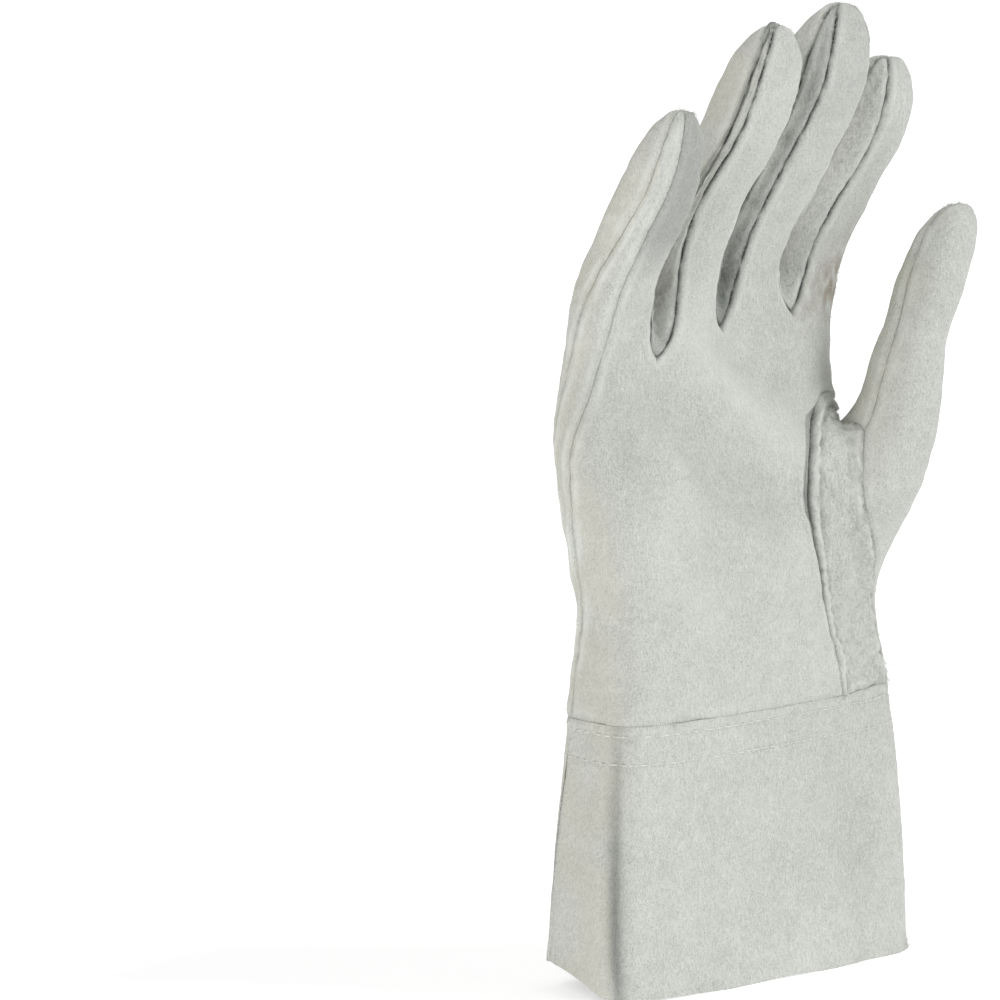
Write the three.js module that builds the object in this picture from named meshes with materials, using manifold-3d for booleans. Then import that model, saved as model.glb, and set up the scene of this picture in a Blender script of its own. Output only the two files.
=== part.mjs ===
// A right-hand work glove in split leather, standing on the rim of its cuff.
// Millimetres, +Z up. The palm faces -Y and the thumb is on the +X side.
//
// The glove's outside is laid out as one net of four-sided faces: rings of points round the hand,
// round each finger and round the thumb. Each sewn panel is a patch of that net, drawn back a little
// from its seams and given the leather's thickness inwards.
import * as THREE from 'three';
import { mergeVertices } from 'three/addons/utils/BufferGeometryUtils.js';
import Module from 'manifold-3d';

const wasm = await Module();
wasm.setup();

// Driving sizes
const LEATHER = 1.6;
const CUFF_LEATHER = 1.9;
const SEAM_GAP = 0.3;
const CUFF_HEIGHT = 73;
// The rim's corner on the little finger's side is cut round: how far it rises, at which angle round the hand,
// over how many degrees to the palm and to the back, and up to which height the cuff follows it
const RIM_CORNER = { rise: 8, angle: -161, toPalm: 30, toBack: 36, height: 30 };
// Moves the model so that the origin lies below the middle of the glove
const CENTRING = { x: -5.19, y: 3.89 };

// How many faces each panel has across, and how many rows each stretch has
const ACROSS = { finger: 4, side: 3, radial: 2, gusset: 4, thumb: 4, strip: 4 };
const ROWS = { cuff: 5, wrist: 9, knuckles: 4 };

// The hand's cross-section by height: centre, half width, half depth, squareness and turn in degrees
const HAND = [
  { z: 0, x: 0.5, y: 0, a: 55.5, b: 18, n: 4.6, turn: -8 },
  { z: 36, x: 0.5, y: 0, a: 54, b: 17.5, n: 4.4, turn: -7 },
  { z: 73, x: 0, y: 0, a: 51.5, b: 17.5, n: 3.8, turn: -4 },
  { z: 100, x: -0.5, y: 2, a: 50.5, b: 18, n: 3, turn: 0 },
  { z: 122, x: -1.8, y: 5, a: 53.6, b: 18.5, n: 2.8, turn: 3 },
  { z: 146, x: -3, y: 8.5, a: 57, b: 17.5, n: 2.8, turn: 5 },
  { z: 168, x: -4, y: 10, a: 59, b: 16, n: 2.7, turn: 6 },
  { z: 192, x: -4, y: 8, a: 58.5, b: 14, n: 2.5, turn: 6 },
];

// Soft folds of the leather, each along a line from one place on the hand to another, given by height and by
// angle round the section. Depth is positive for a ridge, and width is how far a fold reaches to each side.
const FOLDS = [
  { fromZ: 174, fromAngle: 112, toZ: 138, toAngle: 78, depth: 2.4, width: 8 },
  { fromZ: 158, fromAngle: 122, toZ: 124, toAngle: 88, depth: -2.4, width: 8 },
  { fromZ: 163, fromAngle: 156, toZ: 138, toAngle: 138, depth: -2.2, width: 7 },
  { fromZ: 132, fromAngle: 128, toZ: 100, toAngle: 118, depth: 1.6, width: 9 },
  { fromZ: 112, fromAngle: 82, toZ: 84, toAngle: 86, depth: 1.4, width: 8 },
  { fromZ: 170, fromAngle: 262, toZ: 128, toAngle: 256, depth: -1.2, width: 9 },
  { fromZ: 60, fromAngle: 262, toZ: 6, toAngle: 256, depth: -2.2, width: 11 },
  { fromZ: 58, fromAngle: 78, toZ: 4, toAngle: 66, depth: -1.4, width: 12 },
];

// Seams of the hand as angles round its section, at the cuff seam, at the thumb's root and at the knuckles.
// 0 is the thumb side, 90 the palm, 180 the little-finger side and 270 the back.
const SEAMS = {
  stripFront: [197, 186, 170],
  littleRing: [122, 121, 118],
  ringMiddle: [100, 97, 95],
  middleIndex: [86, 78, 72],
  palmEdge: [75, 77, 44],
  thumbFrontEdge: [22, 28, 20],
  thumbSide: [2, 4, 0],
  thumbBackEdge: [-30, -12, -20],
  backIndexEdge: [-30, -12, -40],
  backMiddleIndex: [-68, -70, -73],
  backRingMiddle: [-90, -92, -94],
  backLittleRing: [-117, -118, -120],
  stripBack: [-146, -156, -170],
};

// Each finger by height: centre, half width and half depth. The last row is the tip.
const FINGERS = {
  little: [
    { z: 160, x: -46, y: 6, a: 13, b: 12.5 },
    { z: 183, x: -48.5, y: 2.5, a: 12.4, b: 10.6 },
    { z: 199, x: -48.8, y: -7, a: 11.4, b: 9.6 },
    { z: 214, x: -50.4, y: -18, a: 10.2, b: 8.8 },
    { z: 233.5, x: -52.8, y: -27.5, a: 8, b: 6.8 },
  ],
  ring: [
    { z: 160, x: -22, y: 8, a: 13.5, b: 14 },
    { z: 190, x: -21, y: 2, a: 12.3, b: 11 },
    { z: 206, x: -20.3, y: -4.5, a: 12.2, b: 10.4 },
    { z: 228, x: -18.6, y: -19, a: 12, b: 9.6 },
    { z: 253.5, x: -18.4, y: -29.6, a: 10.6, b: 8.2 },
  ],
  middle: [
    { z: 160, x: 5, y: 11, a: 14, b: 15 },
    { z: 187, x: 6, y: 7, a: 13.6, b: 12 },
    { z: 211, x: 7, y: -6.5, a: 13.8, b: 11 },
    { z: 234, x: 9.5, y: -19.5, a: 13.8, b: 10 },
    { z: 258, x: 11.2, y: -26, a: 12.2, b: 8.6 },
  ],
  index: [
    { z: 160, x: 35, y: 13, a: 17, b: 14.5 },
    { z: 184, x: 38, y: 12.5, a: 15.4, b: 12 },
    { z: 201, x: 38, y: 3.4, a: 14.6, b: 11.2 },
    { z: 220, x: 38.6, y: -9.8, a: 12.8, b: 10.4 },
    { z: 243, x: 39.6, y: -19, a: 12, b: 8.8 },
  ],
  thumb: [
    { z: 84, x: 32, y: 1, a: 20, b: 16 },
    { z: 110, x: 42, y: -8.5, a: 18.5, b: 15.5 },
    { z: 128, x: 44, y: -14, a: 15.2, b: 13.6 },
    { z: 147, x: 48.8, y: -19, a: 13.2, b: 12.2 },
    { z: 165, x: 52.8, y: -20.6, a: 12.2, b: 11.2 },
    { z: 185, x: 58.4, y: -23, a: 11.4, b: 10.2 },
    { z: 202.5, x: 62, y: -26.2, a: 9.8, b: 8.4 },
  ],
};

// How each finger is sewn: the angles between which its front and back panels lie on its own section, the
// rows up to its dome, the dome's height and the height of the finger's root
const SEWN = {
  little: { front: [116, 46], back: [10, -204], rows: 8, dome: 14, root: 172 },
  ring: { front: [134, 46], back: [10, -209], rows: 9, dome: 16, root: 176 },
  middle: { front: [126, 46], back: [10, -198], rows: 9, dome: 17, root: 178 },
  index: { front: [112, 16], back: [16, -190], rows: 8, dome: 16, root: 180 },
  thumb: { front: [206, -8], back: [-8, -112], rows: 6, dome: 16, root: 146 },
};

// Where the thumb's front panel begins round the thumb, by height: it turns inwards towards the crotch
const THUMB_FRONT_START = [
  { z: 84, angle: 70 },
  { z: 108, angle: 102 },
  { z: 116, angle: 124 },
  { z: 124, angle: 146 },
  { z: 132, angle: 166 },
  { z: 143, angle: 206 },
];
const FINGER_SQUARENESS = 2.3;
// A fingertip is a dome of rings at these angles, closed along a short bowed line across the finger
const DOME_ANGLES = [24, 44, 61, 76];
const DOME_FULLNESS = 1.85;
const TIP_WIDTH = 0.14;
const TIP_LINE = { width: 0.16, bow: 0.7 };

// Heights of the crotches, on the palm and on the back, from the little finger's outside to the index's
const CROTCH = {
  front: [176, 161, 170, 171, 172],
  back: [178, 182, 188, 186, 176],
};
// How far the crotches on the palm stand aside from the middle between two fingers
const CROTCH_ASIDE = [0, -4, -2.5, 3.5, 0];
const THUMB_CROTCH = { palm: 146, front: 157, thumb: 143, back: 137 };
// Between the thumb's root and the knuckles the seams swing over to the fingers
const THUMB_ROOT = 146;
const KNUCKLE_HEIGHT = 166;
// The hand's section turns into the thumb's between these heights, and less so behind the thumb
const THUMB_GROWTH = { from: 76, to: 142, behind: 0.45, sharpness: 1.5 };
const KNUCKLE_BLEND = { below: 30, above: 16 };

// Where the net is smoothed: round the knuckles, and in the web of the thumb round one upright line
const KNUCKLE_SMOOTHING = { rounds: 8, amount: 0.4, z: 166, reach: 40 };
const WEB_SMOOTHING = { rounds: 6, amount: 0.35, z: 144, reach: 18, x: 38, y: -4, radius: 26 };

const HAND_FINGERS = ['little', 'ring', 'middle', 'index'];
const rad = (degrees) => degrees * Math.PI / 180;
const mix = (p, q, t) => p + (q - p) * t;

function smooth(low, high, value) {
  const t = Math.min(1, Math.max(0, (value - low) / (high - low)));
  return t * t * (3 - 2 * t);
}

// A row of a table at height z, on a smooth curve through the table's rows
function rowAt(table, z) {
  const last = table.length - 1;
  let k = 0;
  while (k < last - 1 && z > table[k + 1].z) k += 1;
  const rows = [table[Math.max(0, k - 1)], table[k], table[k + 1], table[Math.min(last, k + 2)]];
  const span = rows[2].z - rows[1].z;
  const t = Math.min(1, Math.max(0, (z - rows[1].z) / span));
  const row = {};
  for (const column of Object.keys(table[0])) {
    const slope = (i, j) => {
      const run = rows[j].z - rows[i].z;
      return run > 0 ? (rows[j][column] - rows[i][column]) / run : 0;
    };
    const startSlope = slope(0, 2) * span;
    const endSlope = slope(1, 3) * span;
    const t2 = t * t;
    const t3 = t2 * t;
    row[column] = (2 * t3 - 3 * t2 + 1) * rows[1][column] + (t3 - 2 * t2 + t) * startSlope
      + (3 * t2 - 2 * t3) * rows[2][column] + (t3 - t2) * endSlope;
  }
  return row;
}

// Point on a rounded section: a superellipse of squareness n, half width a and half depth b
function sectionPoint(row, n, degrees) {
  const c = Math.cos(rad(degrees));
  const s = Math.sin(rad(degrees));
  const across = Math.sign(c) * Math.abs(c) ** (2 / n) * row.a;
  const deep = -Math.sign(s) * Math.abs(s) ** (2 / n) * row.b;
  const turn = rad(row.turn ?? 0);
  return [
    row.x + across * Math.cos(turn) - deep * Math.sin(turn),
    row.y + across * Math.sin(turn) + deep * Math.cos(turn),
  ];
}

function handPoint(z, degrees) {
  const row = rowAt(HAND, z);
  const [x, y] = sectionPoint(row, row.n, degrees);
  return [x, y, z];
}

function fingerPoint(name, z, degrees, widthScale = 1, depthScale = 1) {
  const row = rowAt(FINGERS[name], z);
  row.a *= widthScale;
  row.b *= depthScale;
  const [x, y] = sectionPoint(row, FINGER_SQUARENESS, degrees);
  return [x, y, z];
}

const blend = (p, q, t) => p.map((value, i) => mix(value, q[i], t));

// The net: points, and four-sided faces listed by panel
const points = [];
const panels = new Map();

function addPoint(position) {
  points.push(position);
  return points.length - 1;
}

function addFaces(panel, grid, firstColumn, lastColumn) {
  if (!panels.has(panel)) panels.set(panel, []);
  for (let i = 0; i < grid.length - 1; i += 1) {
    for (let j = firstColumn; j < lastColumn; j += 1) {
      panels.get(panel).push([grid[i][j], grid[i][j + 1], grid[i + 1][j + 1], grid[i + 1][j]]);
    }
  }
}

// A seam's angle at height z on the hand
function seamAngle(name, z) {
  const [low, middle, high] = SEAMS[name];
  const rise = smooth(CUFF_HEIGHT, THUMB_ROOT, z);
  const top = smooth(THUMB_ROOT, KNUCKLE_HEIGHT, z);
  return mix(mix(low, middle, rise), high, top);
}

// Columns of a ring: for each stretch between two seams, how far along it each point lies
function columnsOf(stretches) {
  const columns = [];
  for (const stretch of stretches) {
    for (let k = 0; k < stretch.count; k += 1) {
      columns.push({ ...stretch, t: k / stretch.count });
    }
  }
  return columns;
}

function fingerStretches(seams) {
  return seams.slice(0, -1).map((from, k) => ({ from, to: seams[k + 1], count: ACROSS.finger }));
}

const FRONT_SEAMS = ['stripFront', 'littleRing', 'ringMiddle', 'middleIndex', 'palmEdge'];
const BACK_SEAMS = ['backIndexEdge', 'backMiddleIndex', 'backRingMiddle', 'backLittleRing', 'stripBack'];
const LOWER_RING = columnsOf([
  ...fingerStretches(FRONT_SEAMS),
  { from: 'palmEdge', to: 'thumbFrontEdge', count: ACROSS.gusset },
  { from: 'thumbFrontEdge', to: 'thumbSide', count: ACROSS.thumb },
  { from: 'thumbSide', to: 'thumbBackEdge', count: ACROSS.thumb },
  ...fingerStretches(BACK_SEAMS),
  { from: 'stripBack', to: 'stripFront', count: ACROSS.side },
]);
const FRONT_COUNT = HAND_FINGERS.length * ACROSS.finger;
const GUSSET_START = FRONT_COUNT;
const THUMB_START = GUSSET_START + ACROSS.gusset;
const THUMB_END = THUMB_START + 2 * ACROSS.thumb;
const STRIP_START = THUMB_END + FRONT_COUNT;

const unwrap = (from, to) => (to > from ? to - 360 : to);

function columnAngle(column, z) {
  const from = seamAngle(column.from, z);
  return mix(from, unwrap(from, seamAngle(column.to, z)), column.t);
}

// How far the hand's section has become the thumb's at a height, full at the front and less at the back
function thumbShare(j, z) {
  const rise = smooth(THUMB_GROWTH.from, THUMB_GROWTH.to, z);
  if (j <= THUMB_END - ACROSS.thumb) return rise;
  const behind = (j - THUMB_END + ACROSS.thumb) / ACROSS.thumb;
  return rise * mix(1, THUMB_GROWTH.behind, behind ** THUMB_GROWTH.sharpness);
}

function lowerPoint(j, z) {
  const column = LOWER_RING[j % LOWER_RING.length];
  const onHand = handPoint(z, columnAngle(column, z));
  if (j < THUMB_START || j > THUMB_END) return onHand;
  const { front, back } = SEWN.thumb;
  const start = rowAt(THUMB_FRONT_START, z).angle;
  const angle = j < THUMB_START + ACROSS.thumb
    ? mix(start, front[1], (j - THUMB_START) / ACROSS.thumb)
    : mix(back[0], back[1], (j - THUMB_START - ACROSS.thumb) / ACROSS.thumb);
  return blend(onHand, fingerPoint('thumb', z, angle), thumbShare(j, z));
}

// The ring heights run level at the cuff seam and tilt to the thumb's crotch, high on the palm
function lowerHeight(j, share) {
  const { palm, front, thumb, back } = THUMB_CROTCH;
  let top = mix(palm, front, (j / GUSSET_START) ** 2);
  if (j > THUMB_END) top = mix(back, palm, (j - THUMB_END) / (LOWER_RING.length - THUMB_END));
  else if (j >= THUMB_START) top = mix(thumb, back, (j - THUMB_START) / (THUMB_END - THUMB_START));
  else if (j > GUSSET_START) top = mix(front, thumb, (j - GUSSET_START) / ACROSS.gusset);
  return mix(CUFF_HEIGHT + SEAM_GAP, top, share);
}

const lower = [];
for (let i = 0; i <= ROWS.wrist; i += 1) {
  const row = [];
  for (let j = 0; j < LOWER_RING.length; j += 1) {
    const z = lowerHeight(j, i / ROWS.wrist);
    let position = lowerPoint(j, z);
    if (j > GUSSET_START && j < THUMB_START) {
      const share = (j - GUSSET_START) / ACROSS.gusset;
      position = blend(lowerPoint(GUSSET_START, z), lowerPoint(THUMB_START, z), share);
    }
    row.push(addPoint(position));
  }
  row.push(row[0]);
  lower.push(row);
}

// The web between thumb and hand: rows run from the gusset's top edge back to the crotch behind
const crotchBehind = lower[ROWS.wrist][THUMB_END];
const web = [lower[ROWS.wrist].slice(GUSSET_START, THUMB_START + 1)];
for (let i = 1; i < ACROSS.strip; i += 1) {
  const share = i / ACROSS.strip;
  const z = mix(THUMB_CROTCH.front, THUMB_CROTCH.back, share);
  const handSide = handPoint(z, mix(seamAngle('palmEdge', z), seamAngle('backIndexEdge', z), share));
  const thumbZ = mix(THUMB_CROTCH.thumb, THUMB_CROTCH.back, share);
  const thumbAngle = mix(SEWN.thumb.front[0], SEWN.thumb.back[1] + 360, share);
  const thumbSide = fingerPoint('thumb', thumbZ, thumbAngle);
  const end = points[crotchBehind];
  const row = [];
  for (let j = 0; j <= ACROSS.gusset; j += 1) {
    const across = blend(handSide, thumbSide, j / ACROSS.gusset);
    row.push(addPoint(blend(across, end, share ** 3)));
  }
  web.push(row);
}
web.push(Array(ACROSS.gusset + 1).fill(crotchBehind));

// The hand above the thumb, up to the knuckles
const UPPER_RING = columnsOf([
  ...fingerStretches(FRONT_SEAMS),
  { from: 'palmEdge', to: 'backIndexEdge', count: ACROSS.strip },
  ...fingerStretches(BACK_SEAMS),
  { from: 'stripBack', to: 'stripFront', count: ACROSS.side },
]);
const BACK_START = FRONT_COUNT + ACROSS.strip;
const UPPER_STRIP_START = BACK_START + FRONT_COUNT;

function upperTop(j) {
  if (j <= FRONT_COUNT) {
    const place = j / ACROSS.finger;
    const k = Math.min(3, Math.floor(place));
    return mix(CROTCH.front[k], CROTCH.front[k + 1], place - k);
  }
  if (j <= BACK_START) return mix(CROTCH.front[4], CROTCH.back[4], (j - FRONT_COUNT) / ACROSS.strip);
  if (j <= UPPER_STRIP_START) {
    const place = 4 - (j - BACK_START) / ACROSS.finger;
    const k = Math.min(3, Math.floor(place));
    return mix(CROTCH.back[k], CROTCH.back[k + 1], place - k);
  }
  return mix(CROTCH.back[0], CROTCH.front[0], (j - UPPER_STRIP_START) / ACROSS.side);
}

// Angle on a finger's own section for a column of the hand's ring, seen from one of its fingers
function angleOnFinger(finger, j) {
  const { front, back } = SEWN[finger];
  const f = HAND_FINGERS.indexOf(finger);
  const frontShare = (j - f * ACROSS.finger) / ACROSS.finger;
  const backShare = (j - BACK_START - (3 - f) * ACROSS.finger) / ACROSS.finger;
  if (finger === 'index' && j >= 3 * ACROSS.finger && j <= BACK_START + ACROSS.finger) {
    const count = ACROSS.finger + ACROSS.radial;
    const k = j - 3 * ACROSS.finger;
    if (k <= count) return mix(front[0], front[1], k / count);
    return mix(back[0], back[1], (k - count) / count);
  }
  if (j <= FRONT_COUNT) return mix(front[0], front[1], frontShare);
  if (j <= UPPER_STRIP_START) return mix(back[0], back[1], backShare);
  return mix(back[1], front[0] - 360, (j - UPPER_STRIP_START) / ACROSS.side);
}

// The finger that a column of the hand leads to, or the two fingers that meet there
function fingersOfColumn(j) {
  if (j > UPPER_STRIP_START) return [0];
  if (j > FRONT_COUNT && j <= BACK_START) return [3];
  const place = j <= FRONT_COUNT ? j / ACROSS.finger : 4 - (j - BACK_START) / ACROSS.finger;
  const between = Number.isInteger(place) && place > 0 && place < 4;
  return between ? [place - 1, place] : [Math.min(3, Math.floor(place))];
}

function upperPoint(j, z) {
  const column = UPPER_RING[j % UPPER_RING.length];
  const onHand = handPoint(z, columnAngle(column, z));
  const fingers = fingersOfColumn(j);
  let sum = [0, 0, 0];
  for (const f of fingers) {
    const name = HAND_FINGERS[f];
    const share = smooth(SEWN[name].root - KNUCKLE_BLEND.below, SEWN[name].root + KNUCKLE_BLEND.above, z);
    const position = blend(onHand, fingerPoint(name, z, angleOnFinger(name, j)), share);
    sum = sum.map((value, i) => value + position[i] / fingers.length);
  }
  sum[0] += crotchAside(j) * smooth(KNUCKLE_HEIGHT - KNUCKLE_BLEND.below, KNUCKLE_HEIGHT, z);
  return sum;
}

// How far a column of the palm leans aside, together with the crotches on both sides of it
function crotchAside(j) {
  if (j >= FRONT_COUNT) return 0;
  const k = Math.floor(j / ACROSS.finger);
  return mix(CROTCH_ASIDE[k], CROTCH_ASIDE[k + 1], j / ACROSS.finger - k);
}

const firstUpper = lower[ROWS.wrist];
const upper = [[]];
for (let j = 0; j < UPPER_RING.length; j += 1) {
  if (j <= FRONT_COUNT) upper[0].push(firstUpper[j]);
  else if (j < BACK_START) upper[0].push(web[j - FRONT_COUNT][0]);
  else upper[0].push(firstUpper[j - BACK_START + THUMB_END]);
}
upper[0].push(upper[0][0]);
for (let i = 1; i <= ROWS.knuckles; i += 1) {
  const row = [];
  for (let j = 0; j < UPPER_RING.length; j += 1) {
    const z = mix(points[upper[0][j]][2], upperTop(j), i / ROWS.knuckles);
    row.push(addPoint(upperPoint(j, z)));
  }
  row.push(row[0]);
  upper.push(row);
}

// A finger's rings from its root row to the line across its tip. Each panel of it has the same columns on
// the front and on the back, and the ring closes on its first point.
function fingerRings(name, rootRow, angles, count) {
  const sewn = SEWN[name];
  const tip = FINGERS[name].at(-1).z;
  const shoulder = tip - sewn.dome;
  const rings = [[...rootRow, rootRow[0]]];
  for (let i = 1; i <= sewn.rows; i += 1) {
    const row = angles.map((angle, j) => {
      const z = mix(points[rootRow[j]][2], shoulder, i / sewn.rows);
      return addPoint(besideHand(name, j, z, fingerPoint(name, z, angle)));
    });
    rings.push([...row, row[0]]);
  }
  for (const degrees of DOME_ANGLES) {
    const rise = Math.sin(rad(degrees));
    const depth = Math.cos(rad(degrees));
    const width = TIP_WIDTH + (1 - TIP_WIDTH) * Math.sqrt(1 - rise ** DOME_FULLNESS);
    const z = shoulder + sewn.dome * rise;
    const row = angles.map((angle) => addPoint(fingerPoint(name, z, angle, width, depth)));
    rings.push([...row, row[0]]);
  }
  const line = [];
  for (let k = 0; k <= count; k += 1) {
    const row = rowAt(FINGERS[name], tip);
    const side = -Math.cos(Math.PI * k / count);
    line.push(addPoint([row.x + side * TIP_LINE.width * row.a, row.y, tip - TIP_LINE.bow * side * side]));
  }
  const backStart = count + (name === 'index' || name === 'thumb' ? 0 : ACROSS.side);
  const tipRow = [];
  for (let j = 0; j <= angles.length; j += 1) {
    const frontPlace = Math.min(j, count);
    const backPlace = Math.max(0, count - Math.max(0, j - backStart));
    tipRow.push(line[j < backStart ? frontPlace : backPlace]);
  }
  rings.push(tipRow);
  return rings;
}

// Near its root a finger's own section still follows the hand's, along the same column
function besideHand(name, j, z, own) {
  const column = handColumn(name, j);
  if (column === null) return own;
  const onHand = handPoint(z, columnAngle(UPPER_RING[column % UPPER_RING.length], z));
  const { root } = SEWN[name];
  return blend(onHand, own, smooth(root - KNUCKLE_BLEND.below, root + KNUCKLE_BLEND.above, z));
}

// Which column of the hand's ring a finger's column continues, or none between two fingers
function handColumn(name, j) {
  const f = HAND_FINGERS.indexOf(name);
  if (f < 0) return null;
  const wide = name === 'index' ? ACROSS.finger + ACROSS.radial : ACROSS.finger;
  const rightSide = name === 'index' ? 0 : ACROSS.side;
  if (j <= wide) return f * ACROSS.finger + j;
  if (j < wide + rightSide) return null;
  const k = j - wide - rightSide;
  if (k > wide) return name === 'little' ? UPPER_STRIP_START + k - wide : null;
  return name === 'index' ? FRONT_COUNT + ACROSS.radial + k : BACK_START + (3 - f) * ACROSS.finger + k;
}

// Angles and root points round a finger of the hand
const topRow = upper[ROWS.knuckles];
const saddles = HAND_FINGERS.slice(0, -1).map((name, f) => {
  const next = HAND_FINGERS[f + 1];
  const frontId = topRow[(f + 1) * ACROSS.finger];
  const backId = topRow[BACK_START + (3 - f) * ACROSS.finger];
  const line = [frontId];
  for (let k = 1; k < ACROSS.side; k += 1) {
    const t = k / ACROSS.side;
    const z = mix(points[frontId][2], points[backId][2], t);
    const onThis = fingerPoint(name, z, mix(SEWN[name].front[1], SEWN[name].back[0], t));
    const onNext = fingerPoint(next, z, mix(SEWN[next].front[0] - 360, SEWN[next].back[1], t));
    line.push(addPoint(blend(onThis, onNext, 0.5)));
  }
  line.push(backId);
  return line;
});

const rings = {};
HAND_FINGERS.forEach((name, f) => {
  const { front, back } = SEWN[name];
  const wide = name === 'index' ? ACROSS.finger + ACROSS.radial : ACROSS.finger;
  const root = [];
  const angles = [];
  for (let k = 0; k <= wide; k += 1) {
    root.push(topRow[f * ACROSS.finger + k]);
    angles.push(mix(front[0], front[1], k / wide));
  }
  if (name !== 'index') {
    for (let k = 1; k < ACROSS.side; k += 1) {
      root.push(saddles[f][k]);
      angles.push(mix(front[1], back[0], k / ACROSS.side));
    }
  }
  const upperBack = BACK_START + (3 - f) * ACROSS.finger;
  const backStart = name === 'index' ? FRONT_COUNT + ACROSS.radial : upperBack;
  for (let k = name === 'index' ? 1 : 0; k <= wide; k += 1) {
    root.push(topRow[backStart + k]);
    angles.push(mix(back[0], back[1], k / wide));
  }
  for (let k = 1; k < ACROSS.side; k += 1) {
    const id = f === 0 ? topRow[UPPER_STRIP_START + k] : saddles[f - 1][ACROSS.side - k];
    root.push(id);
    angles.push(mix(back[1], front[0] - 360, k / ACROSS.side));
  }
  rings[name] = fingerRings(name, root, angles, wide);
});

// The thumb
{
  const { front, back } = SEWN.thumb;
  const root = [];
  const angles = [];
  for (let k = 0; k <= ACROSS.thumb; k += 1) {
    root.push(lower[ROWS.wrist][THUMB_START + k]);
    angles.push(mix(front[0], front[1], k / ACROSS.thumb));
  }
  for (let k = 1; k <= ACROSS.thumb; k += 1) {
    root.push(lower[ROWS.wrist][THUMB_START + ACROSS.thumb + k]);
    angles.push(mix(back[0], back[1], k / ACROSS.thumb));
  }
  for (let k = 1; k < ACROSS.strip; k += 1) {
    root.push(web[ACROSS.strip - k][ACROSS.gusset]);
    angles.push(mix(back[1], front[0] - 360, k / ACROSS.strip));
  }
  rings.thumb = fingerRings('thumb', root, angles, ACROSS.thumb);
}

// The leather is pared thin where three panels meet behind the thumb
const PARED = 0.5;
const pared = new Map([[crotchBehind, PARED]]);
web[ACROSS.strip - 1].forEach((id) => pared.set(id, (1 + PARED) / 2));

// Panels of the net
addFaces('palm', lower, 0, FRONT_COUNT);
addFaces('thumb_gusset', lower, GUSSET_START, THUMB_START);
addFaces('thumb_gusset', web, 0, ACROSS.gusset);
addFaces('thumb_front', lower, THUMB_START, THUMB_START + ACROSS.thumb);
addFaces('thumb_back', lower, THUMB_START + ACROSS.thumb, THUMB_END);
addFaces('side_strip', lower, STRIP_START, LOWER_RING.length);
addFaces('palm', upper, 0, FRONT_COUNT + ACROSS.radial);
addFaces('side_strip', upper, UPPER_STRIP_START, UPPER_RING.length);
HAND_FINGERS.forEach((name, f) => {
  const lowerStart = THUMB_END + (3 - f) * ACROSS.finger;
  const upperStart = BACK_START + (3 - f) * ACROSS.finger;
  const extra = name === 'index' ? ACROSS.radial : 0;
  const wide = ACROSS.finger + extra;
  const sideCount = name === 'index' ? 0 : ACROSS.side;
  const start = 2 * wide + sideCount;
  const backPanel = `back_${name}`;
  addFaces(backPanel, lower, lowerStart, lowerStart + ACROSS.finger);
  addFaces(backPanel, upper, upperStart - extra, upperStart + ACROSS.finger);
  addFaces('palm', rings[name], 0, wide);
  addFaces(backPanel, rings[name], wide + sideCount, 2 * wide + sideCount);
  if (f < 3) addFaces(`fourchette_${name}_${HAND_FINGERS[f + 1]}`, rings[name], wide, wide + sideCount);
  const leftPanel = f === 0 ? 'side_strip' : `fourchette_${HAND_FINGERS[f - 1]}_${name}`;
  addFaces(leftPanel, rings[name], start, start + ACROSS.side);
});
addFaces('thumb_front', rings.thumb, 0, ACROSS.thumb);
addFaces('thumb_back', rings.thumb, ACROSS.thumb, 2 * ACROSS.thumb);
addFaces('thumb_strip', rings.thumb, 2 * ACROSS.thumb, 2 * ACROSS.thumb + ACROSS.strip);

// Smooths the net where tubes branch: each free point moves part way to the middle of its neighbours
function relax({ rounds, amount }, weightOf) {
  const neighbours = points.map(() => new Set());
  for (const faces of panels.values()) {
    for (const face of faces) {
      face.forEach((id, k) => {
        const next = face[(k + 1) % face.length];
        if (next !== id) {
          neighbours[id].add(next);
          neighbours[next].add(id);
        }
      });
    }
  }
  for (let round = 0; round < rounds; round += 1) {
    const moved = points.map((point, id) => {
      const weight = amount * weightOf(point);
      if (weight === 0) return point;
      const middle = [0, 0, 0];
      for (const other of neighbours[id]) {
        points[other].forEach((value, axis) => { middle[axis] += value / neighbours[id].size; });
      }
      return blend(point, middle, weight);
    });
    moved.forEach((point, id) => { points[id] = point; });
  }
}

const nearHeight = (point, { z, reach }) => Math.max(0, 1 - Math.abs(point[2] - z) / reach);
relax(KNUCKLE_SMOOTHING, (point) => nearHeight(point, KNUCKLE_SMOOTHING));
relax(WEB_SMOOTHING, (point) => {
  const away = Math.hypot(point[0] - WEB_SMOOTHING.x, point[1] - WEB_SMOOTHING.y);
  return nearHeight(point, WEB_SMOOTHING) * Math.max(0, 1 - away / WEB_SMOOTHING.radius);
});

// Outward direction at each point, from all the faces round it, so that neighbouring panels agree
const toVector = (id) => new THREE.Vector3(...points[id]);
function outwardDirections() {
  const directions = points.map(() => new THREE.Vector3());
  for (const faces of panels.values()) {
    for (const face of faces) {
      const across = toVector(face[2]).sub(toVector(face[0]));
      const along = toVector(face[3]).sub(toVector(face[1]));
      const direction = across.cross(along);
      new Set(face).forEach((id) => directions[id].add(direction));
    }
  }
  return directions.map((direction) => direction.normalize());
}

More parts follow.
